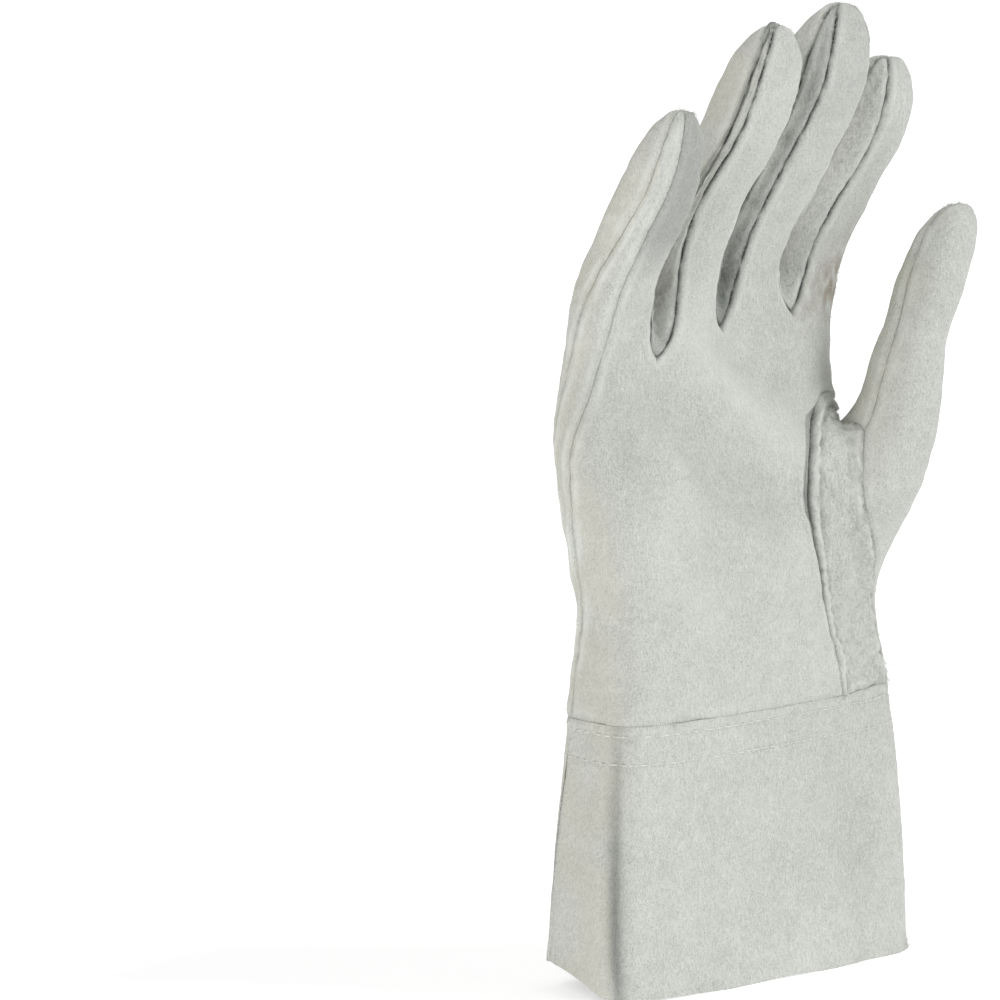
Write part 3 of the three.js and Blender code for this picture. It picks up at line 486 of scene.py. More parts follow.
def hand_finger(net, name, saddles):
    """One finger of the hand: palm side, strip, back and the other strip, all round it."""
    f = HAND_FINGERS.index(name)
    top, side, wide = net.grids["upper"][-1], ACROSS["side"], wide_count(name)
    front, back = SEWN[name]["front"], SEWN[name]["back"]
    shares, between = np.arange(wide + 1) / wide, np.arange(1, side) / side
    front_columns = f * ACROSS["finger"] + np.arange(wide + 1)
    back_columns = BACK_START + (4 - f) * ACROSS["finger"] - np.arange(wide, -1, -1)
    root, angles, columns = [top[front_columns]], [mix(front[0], front[1], shares)], [front_columns]
    if name == "index":
        back_columns, shares = back_columns[1:], shares[1:]
    else:
        root.append(saddles[f])
        angles.append(mix(front[1], back[0], between))
        columns.append(np.full(side - 1, -1))
    root.append(top[back_columns])
    angles.append(mix(back[0], back[1], shares))
    columns.append(back_columns)
    outer_columns = UPPER_STRIP + np.arange(1, side)
    root.append(top[outer_columns] if f == 0 else saddles[f - 1][::-1])
    angles.append(mix(back[1], front[0] - 360, between))
    columns.append(outer_columns if f == 0 else np.full(side - 1, -1))
    finger_tube(net, name, np.concatenate(root), np.concatenate(angles), np.concatenate(columns), wide)


def thumb(net):
    """The thumb: front shell, back shell and the strip on its inner side."""
    top, web = net.grids["lower"][-1], net.grids["web"]
    front, back = SEWN["thumb"]["front"], SEWN["thumb"]["back"]
    shares = np.arange(ACROSS["thumb"] + 1) / ACROSS["thumb"]
    between = np.arange(1, ACROSS["strip"]) / ACROSS["strip"]
    root = np.concatenate([top[THUMB_START:THUMB_END + 1], web[-2:0:-1, -1]])
    angles = np.concatenate([mix(front[0], front[1], shares), mix(back[0], back[1], shares[1:]),
                             mix(back[1], front[0] - 360, between)])
    finger_tube(net, "thumb", root, angles, np.full(len(root), -1), ACROSS["thumb"])


def lay_patches(net):
    """Which stretch of which grid belongs to which sewn panel."""
    count, side, strip = ACROSS["finger"], ACROSS["side"], ACROSS["strip"]
    net.patch("cuff", "cuff", 0, LOWER_COUNT)
    net.patch("palm", "lower", 0, PALM_COUNT)
    net.patch("palm", "upper", 0, PALM_COUNT + ACROSS["radial"])
    net.patch("thumb_gusset", "lower", PALM_COUNT, THUMB_START)
    net.patch("thumb_gusset", "web", 0, ACROSS["gusset"])
    net.patch("thumb_front", "lower", THUMB_START, THUMB_START + ACROSS["thumb"])
    net.patch("thumb_back", "lower", THUMB_START + ACROSS["thumb"], THUMB_END)
    net.patch("side_strip", "lower", LOWER_STRIP, LOWER_COUNT)
    net.patch("side_strip", "upper", UPPER_STRIP, UPPER_COUNT)
    for f, name in enumerate(HAND_FINGERS):
        wide = wide_count(name)
        gap = 0 if name == "index" else side
        lower_start, upper_start = THUMB_END + (3 - f) * count, BACK_START + (4 - f) * count - wide
        net.patch("back_" + name, "lower", lower_start, lower_start + count)
        net.patch("back_" + name, "upper", upper_start, upper_start + wide)
        net.patch("palm", name, 0, wide)
        net.patch("back_" + name, name, wide + gap, 2 * wide + gap)
        if gap:
            net.patch(f"fourchette_{name}_{HAND_FINGERS[f + 1]}", name, wide, wide + gap)
        left = "side_strip" if f == 0 else f"fourchette_{HAND_FINGERS[f - 1]}_{name}"
        net.patch(left, name, 2 * wide + gap, 2 * wide + gap + side)
    net.patch("thumb_front", "thumb", 0, ACROSS["thumb"])
    net.patch("thumb_back", "thumb", ACROSS["thumb"], 2 * ACROSS["thumb"])
    net.patch("thumb_strip", "thumb", 2 * ACROSS["thumb"], 2 * ACROSS["thumb"] + strip)


def grid_faces(grid):
    """The four corners of each face of a grid of point numbers."""
    corners = (grid[:-1, :-1], grid[:-1, 1:], grid[1:, 1:], grid[1:, :-1])
    return np.stack(corners, axis=-1).reshape(-1, 4)


def all_faces(net):
    return np.vstack([grid_faces(grid) for grid in net.grids.values()])


def face_edges(faces):
    """Each face's four sides as sorted pairs, and the number of the face that each belongs to."""
    pairs = np.stack([faces, np.roll(faces, -1, axis=1)], axis=-1).reshape(-1, 2)
    return np.sort(pairs, axis=1), np.repeat(np.arange(len(faces)), 4)


def relax(net, settings, weights):
    """Moves points part way to the middle of their neighbours, a few times, by weights between 0 and 1."""
    pairs = np.unique(face_edges(all_faces(net))[0], axis=0)
    pairs = pairs[pairs[:, 0] != pairs[:, 1]]
    ends = np.vstack([pairs, pairs[:, ::-1]])
    number = np.bincount(ends[:, 0], minlength=len(net.points))[:, None].clip(1)
    for _ in range(settings["rounds"]):
        total = np.zeros_like(net.points)
        np.add.at(total, ends[:, 0], net.points[ends[:, 1]])
        net.points = mix(net.points, total / number, settings["amount"] * weights(net.points)[:, None])


def outward(points, faces):
    """Outward direction at each point: the sum of the crossed diagonals of the faces round it."""
    cross = np.cross(points[faces[:, 2]] - points[faces[:, 0]], points[faces[:, 3]] - points[faces[:, 1]])
    total = np.zeros_like(points)
    np.add.at(total, faces.ravel(), np.repeat(cross, 4, axis=0))
    return total / np.linalg.norm(total, axis=1, keepdims=True).clip(1e-12)


def away_from_lines(points, starts, ends, chunk=4000):
    """Distance from each point to the nearest of many straight lines."""
    along = ends - starts
    length = (along**2).sum(1).clip(1e-12)
    distance = np.empty(len(points))
    for first in range(0, len(points), chunk):
        part = points[first:first + chunk]
        offset = part[:, None] - starts[None]
        t = np.clip((offset * along).sum(2) / length, 0, 1)
        away = ((offset - t[..., None] * along) ** 2).sum(2)
        distance[first:first + chunk] = np.sqrt(away.min(1))
    return distance


def fold_heights(points, folds):
    """How far folds raise each point: a bell curve of the distance to each fold's line."""
    total = np.zeros(len(points))
    for from_z, from_angle, to_z, to_angle, depth, width in folds:
        start, end = hand_points(np.array([from_z, to_z]), np.array([from_angle, to_angle]))
        away = away_from_lines(points, start[None], end[None])
        total += depth * np.exp(-(away / width) ** 2)
    return total


def make_net():
    """The whole net, smoothed where tubes branch, with the soft folds laid in it."""
    net = Net()
    cuff_and_wrist(net)
    thumb_web(net)
    knuckles(net)
    saddles = finger_saddles(net)
    for name in HAND_FINGERS:
        hand_finger(net, name, saddles)
    thumb(net)
    lay_patches(net)

    def near(points, s):
        return np.clip(1 - np.abs(points[:, 2] - s["z"]) / s["reach"], 0, 1)

    def in_web(points):
        s = WEB_SMOOTHING
        away = np.hypot(points[:, 0] - s["x"], points[:, 1] - s["y"])
        return near(points, s) * np.clip(1 - away / s["radius"], 0, 1)

    relax(net, KNUCKLE_SMOOTHING, lambda points: near(points, KNUCKLE_SMOOTHING))
    relax(net, WEB_SMOOTHING, in_web)
    net.points = net.points + outward(net.points, all_faces(net)) * fold_heights(net.points, FOLDS)[:, None]
    return net


def refine(points, grids):
    """One round of Catmull-Clark subdivision on grids that share points. A face gets a point in its middle,
    an edge the mean of its ends and its faces' points, and an old point moves towards both. An edge with
    one face keeps to its own line. Old points keep their numbers."""
    faces = np.vstack([grid_faces(grid) for grid in grids.values()])
    number = len(points)
    middles = points[faces].mean(1)
    pairs, owner = face_edges(faces)
    real = pairs[:, 0] != pairs[:, 1]
    keys, inverse, count = np.unique(pairs[real] @ [number, 1], return_inverse=True, return_counts=True)
    ends = np.stack([keys // number, keys % number], axis=1)
    beside = np.zeros((len(keys), 3))
    np.add.at(beside, inverse, middles[owner[real]])
    halfway = points[ends].mean(1)
    rim = count == 1
    edge_points = (2 * halfway + beside) / (2 + count)[:, None]
    edge_points[rim] = halfway[rim]

    valence = np.bincount(ends.ravel(), minlength=number)[:, None].clip(1)
    edge_mean, face_mean = np.zeros((number, 3)), np.zeros((number, 3))
    np.add.at(edge_mean, ends.ravel(), np.repeat(halfway, 2, axis=0))
    np.add.at(face_mean, faces.ravel(), np.repeat(middles, 4, axis=0))
    face_count = np.bincount(faces.ravel(), minlength=number)[:, None].clip(1)
    moved = (face_mean / face_count + 2 * edge_mean / valence + (valence - 3) * points) / valence
    on_rim = np.zeros((number, 3))
    np.add.at(on_rim, ends[rim].ravel(), np.repeat(halfway[rim], 2, axis=0))
    rim_points = np.unique(ends[rim])
    moved[rim_points] = points[rim_points] / 2 + on_rim[rim_points] / 4

    def edge_number(p, q):
        key = np.minimum(p, q) * number + np.maximum(p, q)
        return np.where(p == q, p, number + np.searchsorted(keys, key).clip(0, len(keys) - 1))

    first_face = number + len(keys)
    finer = {}
    for name, grid in grids.items():
        rows, columns = grid.shape[0] - 1, grid.shape[1] - 1
        fine = np.empty((2 * rows + 1, 2 * columns + 1), int)
        fine[::2, ::2] = grid
        fine[::2, 1::2] = edge_number(grid[:, :-1], grid[:, 1:])
        fine[1::2, ::2] = edge_number(grid[:-1], grid[1:])
        fine[1::2, 1::2] = first_face + np.arange(rows * columns).reshape(rows, columns)
        first_face += rows * columns
        finer[name] = fine
    return np.vstack([moved, edge_points, middles]), finer


FINENESS = 3
STEPS = 2**FINENESS
FITTING_ROUNDS = 4


def rounded(points, grids):
    for _ in range(FINENESS):
        points, grids = refine(points, grids)
    return points, grids


class Surface:
    """The smooth outside of the glove: points and outward directions on fine grids, in millimetres, and the
    seams as short lines with the panels on both sides of them."""

    def __init__(self):
        net = make_net()
        control = net.points.copy()
        for _ in range(FITTING_ROUNDS):
            fine, _ = rounded(control, net.grids)
            control += net.points - fine[:len(control)]
        self.points, self.grids = rounded(control, net.grids)
        self.normals = outward(self.points, np.vstack([grid_faces(g) for g in self.grids.values()]))
        self.patches = net.patches
        self.panels = list(dict.fromkeys(panel for panel, *_ in net.patches))
        self.find_seams()

    def patch_grid(self, grid, first, last):
        return self.grids[grid][:, first * STEPS:last * STEPS + 1]

    def find_seams(self):
        """A seam is an edge with faces of two panels."""
        faces, panel = [], []
        for name, grid, first, last in self.patches:
            own = grid_faces(self.patch_grid(grid, first, last))
            faces.append(own)
            panel.append(np.full(len(own), self.panels.index(name)))
        pairs, owner = face_edges(np.vstack(faces))
        panel = np.concatenate(panel)[owner]
        keys, inverse = np.unique(pairs @ [len(self.points), 1], return_inverse=True)
        low, high = np.full(len(keys), len(self.panels)), np.full(len(keys), -1)
        np.minimum.at(low, inverse, panel)
        np.maximum.at(high, inverse, panel)
        ends = np.stack([keys // len(self.points), keys % len(self.points)], axis=1)
        seam = (low != high) & (ends[:, 0] != ends[:, 1])
        self.seam_starts, self.seam_ends = self.points[ends[seam, 0]], self.points[ends[seam, 1]]
        self.seam_panels = np.stack([low[seam], high[seam]], axis=1)

    def sample(self, grid, rows, columns):
        """Points and outward directions at fractional rows and columns of a fine grid, each the mean of the
        four grid points round it by nearness."""
        i = np.clip(np.floor(rows).astype(int), 0, grid.shape[0] - 2)
        j = np.clip(np.floor(columns).astype(int), 0, grid.shape[1] - 2)
        s, t = (rows - i)[..., None], (columns - j)[..., None]

        def blended(values):
            low = mix(values[grid[i, j]], values[grid[i, j + 1]], t)
            high = mix(values[grid[i + 1, j]], values[grid[i + 1, j + 1]], t)
            return mix(low, high, s)
        return blended(self.points), blended(self.normals)


def spread(first, last, count, crowding):
    """Places from first to last that stand closer at both ends: a straight run less a part of its sine."""
    t = np.linspace(0, 1, count + 1)
    return mix(first, last, t - crowding * np.sin(2 * np.pi * t) / (2 * np.pi))


# Columns where a panel can end: the samples of a grid crowd together on both sides of each of them
MAJOR = {
    "cuff": list(range(0, PALM_COUNT + 1, 4)) + [THUMB_START, THUMB_START + 4, THUMB_END]
    + [THUMB_END + k for k in (4, 8, 12, 16)] + [LOWER_COUNT],
    "upper": [0, 4, 8, 12, 16, 18, 20, 24, 28, 32, 36, UPPER_COUNT],
    "web": [0, 4],
    "little": [0, 4, 7, 11, 14],
    "ring": [0, 4, 7, 11, 14],
    "middle": [0, 4, 7, 11, 14],
    "index": [0, 4, 6, 8, 12, 15],
    "thumb": [0, 4, 8, 12],
}
MAJOR["lower"] = MAJOR["cuff"]
SAMPLES_PER_COLUMN = 8
COLUMN_CROWDING = 0.72
# Places of the samples inside one row of the net beside a seam, as shares of the row
BESIDE_SEAM = np.array([0, 0.02, 0.045, 0.075, 0.115, 0.165, 0.23, 0.31, 0.42, 0.56, 0.72, 0.86])
# The same under the cuff's seam, and the steps of the cuff's samples where it is plain and where stitched
BELOW_CUFF_SEAM = BESIDE_SEAM[:6] / 2
CUFF_STEPS = {"plain": 1 / 12, "stitched": 1 / 30, "stop": 0.12}


def column_places(grid, first, last):
    """Fractional columns of a patch, crowded towards every place where a panel can end."""
    major = [c for c in MAJOR[grid] if first <= c <= last]
    runs = [spread(a, b, (b - a) * SAMPLES_PER_COLUMN, COLUMN_CROWDING)[:-1]
            for a, b in zip(major, major[1:])]
    return np.concatenate(runs + [[last]])


def row_places(grid, rows):
    """Fractional rows of a patch: even, finer where the cuff is stitched, crowded beside its seam and across
    the tips."""
    if grid == "cuff":
        plain = np.arange(0, rows - 1, CUFF_STEPS["plain"])
        stitched = np.arange(rows - 1, rows - CUFF_STEPS["stop"], CUFF_STEPS["stitched"])
        return np.concatenate([plain, stitched, rows - BELOW_CUFF_SEAM[::-1]])
    if grid == "lower":
        return np.concatenate([BESIDE_SEAM, np.arange(1, rows + 1e-9, 1 / STEPS)])
    if grid in FINGERS:
        return np.concatenate([np.arange(0, rows - 1, 1 / STEPS), rows - BESIDE_SEAM[::-1]])
    return np.arange(0, rows + 1e-9, 1 / STEPS)


# How the lengths of random waves spread, as shares of the wavelength asked for
WAVE_LENGTHS = (0.7, 1.5)


def random_waves(points, wavelength, seed, count=28):
    """A smooth random height with a spread of about 1: a sum of plane waves of like length in random
    directions, cos(k.p + phase), over the square root of half their number."""
    rng = np.random.default_rng(seed)
    direction = rng.normal(size=(count, 3))
    direction /= np.linalg.norm(direction, axis=1, keepdims=True)
    length = wavelength * rng.uniform(*WAVE_LENGTHS, count)
    phase = rng.uniform(0, 2 * np.pi, count)
    total = np.zeros(len(points))
    for k, w, p in zip(direction, length, phase):
        total += np.cos(points @ k * (2 * np.pi / w) + p)
    return total / math.sqrt(count / 2)


def bell(distance, width):
    """exp(-(distance / width)^2)."""
    return np.exp(-(distance / width) ** 2)


class Panel:
    """One sewn panel as a welded patch of the smooth surface, in millimetres."""

    def __init__(self, surface, name):
        self.name = name
        self.surface = surface
        points, normals, faces, number = [], [], [], 0
        for panel, grid, first, last in surface.patches:
            if panel != name:
                continue
            fine = surface.grids[grid]
            columns = column_places(grid, first, last)
            rows = row_places(grid, (fine.shape[0] - 1) / STEPS)
            r, c = np.meshgrid(rows * STEPS, columns * STEPS, indexing="ij")
            place, direction = surface.sample(fine, r, c)
            points.append(place.reshape(-1, 3))
            normals.append(direction.reshape(-1, 3))
            faces.append(grid_faces(number + np.arange(r.size).reshape(r.shape)))
            number += r.size
        self.weld(np.vstack(points), np.vstack(normals), np.vstack(faces))
        self.seam_distance = self.away_from(surface.panels)
        self.heights = np.zeros(len(self.points))
        self.values = {key: np.zeros(len(self.points)) for key in ("groove", "warmth", "raw", "pale")}

    def weld(self, points, normals, faces):
        """Joins points that lie together, and finds the panel's edges."""
        _, first, inverse = np.unique(np.round(points, 4), axis=0, return_index=True, return_inverse=True)
        self.points, self.normals = points[first], normals[first]
        self.normals /= np.linalg.norm(self.normals, axis=1, keepdims=True).clip(1e-9)
        self.faces = inverse.ravel()[faces]
        ahead = np.stack([self.faces, np.roll(self.faces, -1, axis=1)], axis=-1).reshape(-1, 2)
        ahead = ahead[ahead[:, 0] != ahead[:, 1]]
        key = ahead @ [len(self.points), 1]
        back = ahead[:, ::-1] @ [len(self.points), 1]
        self.edges = ahead[~np.isin(key, back)]

    def away_from(self, others):
        """Distance of each point from the seams that this panel shares with the others."""
        surface = self.surface
        pairs = surface.seam_panels
        wanted = [surface.panels.index(other) for other in others if other != self.name]
        shared = (pairs == surface.panels.index(self.name)).any(1) & np.isin(pairs, wanted).any(1)
        if not shared.any():
            return np.full(len(self.points), np.inf)
        return away_from_lines(self.points, surface.seam_starts[shared], surface.seam_ends[shared])

    def draw_back(self, amount):
        """Moves the panel's edges inwards along the surface, square to the edge."""
        along = self.points[self.edges[:, 1]] - self.points[self.edges[:, 0]]
        pull = np.zeros_like(self.points)
        for end in (0, 1):
            np.add.at(pull, self.edges[:, end], np.cross(self.normals[self.edges[:, end]], along))
        self.points += amount * pull / np.linalg.norm(pull, axis=1, keepdims=True).clip(1e-9)

    def raised(self):
        return self.points + self.normals * self.heights[:, None]

    def wall(self, thickness):
        """The closed wall: the raised outside, the inside one thickness below the smooth surface or below
        a deep groove, and a strip of faces round each edge."""
        number = len(self.points)
        depth = thickness - np.minimum(self.heights + thickness / 2, 0)
        points = np.vstack([self.raised(), self.points - self.normals * depth[:, None]])
        points[:, 2] = np.maximum(points[:, 2], 0)
        a, b = self.edges.T
        rim = np.stack([a, a + number, b + number, b], axis=1)
        return points, np.vstack([self.faces, self.faces[:, ::-1] + number, rim])


# Small creases of the leather, as lines like the soft folds
CREASES = np.array([
    # from_z, from_angle, to_z, to_angle, depth, width
    (171, 107, 141, 87, 1, 4),
    (162, 150, 145, 142, -0.9, 3.4),
    (155, 123, 133, 104, -0.9, 3.6),
    (150, 108, 138, 98, 0.3, 2.2),
    (108, 90, 86, 91, 0.7, 4),
    (126, 97, 104, 99, -0.35, 3),
    (98, 104, 86, 116, -0.35, 3),
    (142, 128, 126, 142, -0.35, 2.6),
    (166, 92, 156, 82, -0.35, 2.4),
    (72.5, 92, 63, 90.5, -0.6, 0.9),
    (60, 100, 30, 108, 0.35, 5),
    (44, 70, 16, 78, -0.35, 4),
    (150, 248, 118, 262, -0.5, 3.4),
    (120, 284, 92, 290, -0.4, 3),
    (100, 236, 80, 244, 0.4, 4),
    (166, 300, 148, 314, -0.4, 3),
    (178, 128, 164, 141, -0.7, 3.4),
])
# The fold at the cuff's corner
CUFF_FOLD = np.array([
    # height, angle, depth, how much painted shade its valley holds
    (74, 167, 0.6, 0.2),
    (53, 162, 1.4, 0.38),
    (37, 156, 2, 0.55),
    (15, 151, 2.4, 0.65),
    (0, 146, 1.4, 0.45),
])
# How wide the fold is, how high the leather swells beside it and how far away, and how wide its painted
# shade is
FOLD_SHAPE = {"width": 2.6, "swell": 0.3, "swell_place": 5, "shade_width": 2}
# Where the stitched arc runs over the palm and the tacks over the side strip: height and angle
PALM_ARC = np.array([(107, 153), (115, 136), (119, 125), (120, 113), (120, 103)], float)
STRIP_TACKS = np.array([(150, 169), (142, 171)], float)
ARC_GROOVE = {"depth": 0.16, "width": 0.8}
# The double band under the cuff's seam: its height, the step at its lower edge, and its rows of thread
CUFF_BAND = {"height": 12.5, "raised": 0.07, "step": (-0.8, 0.6), "swell": 0.08, "swell_place": 6.3,
             "swell_width": 3}
CUFF_ROWS = (2.6, 10)
# The groove that a row of thread draws in the leather
DRAWN_IN = {"depth": 0.16, "uneven": 0.08, "width": 0.7}
# The cut rim: how far it rises off the floor, and how far it spreads
RIM = {"rise": 0.25, "uneven": 0.2, "most": 0.8, "rise_fades": 2.5, "spread": 0.12, "spread_fades": 2}
# A stitch of the cuff, and what the faint ones on the palm and side strip have of it
STITCH = {"pitch": 2.9, "length": 2, "radius": 0.2, "arch": 0.12, "wander": 0.09, "dip": 0.6, "thin": 0.75}
FAINT_STITCH = {"radius_share": 0.6, "arch": 0.05}

# The heights between which the gusset opens, where it is widest and where its top edge fades
GUSSET = {"from": 84, "to": 112, "widest": 146, "top": (147, 151)}
# Its open crack beside the palm: closed and open depth, narrow and wide width, the painted shade in it
# and how much of that shows while it is closed
CRACK = {"depth": (0.4, 1.7), "width": (0.4, 0.8), "shade": 0.95, "closed": 0.2}
# Its welts beside the palm and beside the thumb, with painted highlight, the groove between them, with
# painted shade, and its tufts
WELT = {"height": 0.75, "place": (1.5, 2), "width": 0.9, "uneven": 0.35, "pale": 0.4}
THUMB_WELT = {"share": 0.8, "place": 1.6, "width": 1}
WELT_GROOVE = {"place": 1.8, "width": 0.7, "depth": 0.6, "shade": 0.3, "uneven": 0.6, "most": 1.5}
TUFTS = {"coarse": 0.22, "fine": 0.2, "at_top": 0.12}
# The palm's edge, turned in along the crack, and the painted shade on it
TURNED_EDGE = {"width": 2.6, "full": 138, "ends": (147, 150), "soft": (0.5, 0.4), "uneven": 0.2,
               "sunk": 0.7, "grey": 0.4, "ridge": 0.4, "ridge_place": 1.2, "ridge_width": 1}

# Outward directions of the little finger's side and of the index finger's side
ULNAR = np.array([-0.93, 0.36, 0])
RADIAL = np.array([0.64, -0.77, 0])
# The leather is a little beige where it faces the little finger's side
WARM_SIDE = {"share": 0.7, "from": 0.2, "even": 0.8, "uneven": 0.25}
# The worn side of the index finger, brownish where it faces outwards
WORN_SIDE = {"facing": (0.6, 0.95), "x": (20, 28), "even": 0.8, "uneven": 0.5}
WORN_PATCHES = (
    # height, how far it reaches, how brown
    (180, 7, 0.7),
    (192, 12, 0.25),
)
WORN_BACK = {"begins": (152, 168), "ends": (180, 190), "brown": 0.9, "width": 1.8}
# Painted shade on the fronts of the little and the middle finger, which face down as they curl
SHADED_FRONTS = (
    # lower height, upper height, from x, to x, shade
    (186, 203, -70, -38, 0.36),
    (214, 236, 0, 26, 0.1),
)
# How far their sides fade, in millimetres
SHADED_FRONT_EDGE = 4

FOURCHETTES = ("fourchette_little_ring", "fourchette_ring_middle", "fourchette_middle_index")
# How much painted shade darkens each strip between two fingers, as a share of the usual amount
STRIP_SHADE = dict(zip(FOURCHETTES, (0.5, 1.6, 0.15)))
# The strips' foot lies between two heights; painted shade and hollow are deepest there
STRIP = {"foot": (172, 215), "edge": 2.2, "hollow": (0.35, 0.8), "lumps": 0.1, "dust": 0.2, "foot_dust": 0.23,
         "uneven": 0.12, "most": 1.3}
# What rises and sinks beside the side strip's seams
SIDE_STRIP_RIDGES = (
    # height, distance from the seam, width
    (0.16, 1.8, 1),
    (-0.12, 4.2, 1.4),
)

# How far an edge rolls in, as a share of the usual radius, how dark the painted shade along the seam is,
# and how high the ridges are
USUAL_SEAM = (1, 0.3, 0.7)
SEAM_KINDS = (
    # panels with seams of this kind, and the same three
    (FOURCHETTES, 1.8, 0.7, 0.8),
    (("cuff",), 0.22, 0.05, 0.2),
    (("thumb_gusset",), 0.5, 0, 0.4),
    (("side_strip",), 0.4, 0.12, 0.9),
    (("thumb_strip",), 0.5, 0.12, 0.6),
)
SEAM_KIND_REACH = 3
# How a seam is shaped, and how much painted highlight the ridges beside it get
SEAM_SHAPE = {"uneven": 0.12, "sunk": 0.4, "sunk_width": 1.1, "ridge": 0.26, "ridge_place": 1.8,
              "ridge_width": 0.9, "ridge_uneven": 0.4, "pale": 0.4}
# The painted shade line along a seam: narrow and wide width, how broken it is, and its most
SEAM_LINE = {"width": (0.3, 0.6), "uneven": 0.7, "most": 1.4}
EDGE_DRAWN_BACK = 0.01
# Puckers beside the seams: height and how far they reach
PUCKERS = {"pucker": (0.08, 4), "fine_pucker": (0.04, 1.6)}
# How high soft leather swells, and how much of that a flat stiff cuff shows
SWELLS = {"swell": 0.22, "dimples": 0.08}
CUFF_SOFTNESS = 0.3
ROUGHNESS = 0.03
# Painted shade in fold valleys and painted highlight on fold crests, for each millimetre and at most
BENT = {"shade": 0.05, "most_shade": 0.2, "pale": 0.1, "most_pale": 0.4}

# Random waves by what they shape: length in millimetres and seed
WAVES = {
    "pucker": (6, 11), "fine_pucker": (3, 14), "swell": (24, 12), "dimples": (8, 15), "rough": (3.4, 13),
    "roll": (8, 21), "ridge": (9, 22), "broken_line": (5, 16), "warmth": (18, 17),
    "thread": (4, 31), "band": (4, 32), "rim_rise": (22, 33), "rim_spread": (12, 34),
    "worn_side": (4, 41), "turned_edge": (4, 43),
    "welts": (5, 51), "coarse": (4.2, 52), "fine": (2, 53), "welt_groove": (6, 54),
    "strip": (2.6, 61), "strip_dust": (9, 62),
}


def waves(points, name):
    return random_waves(points, *WAVES[name])


def seam_kinds(panel):
    """How far the edge rolls in, as a share of the usual radius, how dark the painted shade along it is
    and how high the ridges beside it are at the nearest seam: each kind of seam counts as a bell curve of
    the distance from it."""
    looks = np.tile(USUAL_SEAM, (len(panel.points), 1))
    for names, *kind in SEAM_KINDS:
        near = 1.0 if panel.name in names else bell(panel.away_from(names), SEAM_KIND_REACH)[:, None]
        looks = mix(looks, np.array(kind), near)
    return looks.T


def seam_path(table, count=240):
    """Points of the hand along a short table of heights and angles."""
    t = np.linspace(0, len(table) - 1, count)
    at = [np.interp(t, np.arange(len(table)), table[:, k]) for k in (0, 1)]
    return hand_points(at[0], at[1])


def dress_any(panel, roll_radius):
    """Raises and sinks a panel's outside: edges rolled in at the seams as a quarter circle, a small swell
    beside them, puckers along them, creases, and the unevenness of soft leather. It also paints shade along
    the seams and in fold valleys, painted highlight on ridges and fold crests, and a beige tone where the
    leather faces the little finger's side."""
    points, away = panel.points, panel.seam_distance
    kind_roll, dark, ridged = seam_kinds(panel)
    radius = roll_radius * kind_roll * (1 + SEAM_SHAPE["uneven"] * waves(points, "roll"))
    roll = np.clip(radius - away, 0, radius)
    panel.heights -= radius - np.sqrt(radius**2 - roll**2)
    panel.heights -= SEAM_SHAPE["sunk"] * dark * bell(away, SEAM_SHAPE["sunk_width"])
    ridge = ridged * bell(away - SEAM_SHAPE["ridge_place"], SEAM_SHAPE["ridge_width"])
    ridge *= 1 + SEAM_SHAPE["ridge_uneven"] * waves(points, "ridge")
    panel.heights += SEAM_SHAPE["ridge"] * ridge
    # Painted highlight on the ridges beside the seams
    panel.values["pale"] += SEAM_SHAPE["pale"] * ridge
    for name, (height, reach) in PUCKERS.items():
        panel.heights += height * waves(points, name) * np.exp(-away / reach)
    soft = CUFF_SOFTNESS if panel.name == "cuff" else 1
    panel.heights += soft * sum(height * waves(points, name) for name, height in SWELLS.items())
    panel.heights += ROUGHNESS * waves(points, "rough")
    creases = fold_heights(points, CREASES)
    panel.heights += creases
    bent = creases + fold_heights(points, FOLDS)
    # Painted shade in fold valleys and painted highlight on fold crests
    panel.values["groove"] += np.clip(-BENT["shade"] * bent, 0, BENT["most_shade"])
    panel.values["pale"] += np.clip(BENT["pale"] * bent, 0, BENT["most_pale"])
    # Painted shade along the seams, broken here and there
    broken = np.clip(1 + SEAM_LINE["uneven"] * waves(points, "broken_line"), 0, SEAM_LINE["most"])
    panel.values["groove"] += dark * broken * bell(away, mix(*SEAM_LINE["width"], dark))
    facing = smooth(WARM_SIDE["from"], 1, panel.normals @ ULNAR)
    uneven = WARM_SIDE["even"] + WARM_SIDE["uneven"] * waves(points, "warmth")
    panel.values["warmth"] += WARM_SIDE["share"] * facing * np.clip(uneven, 0, 1)


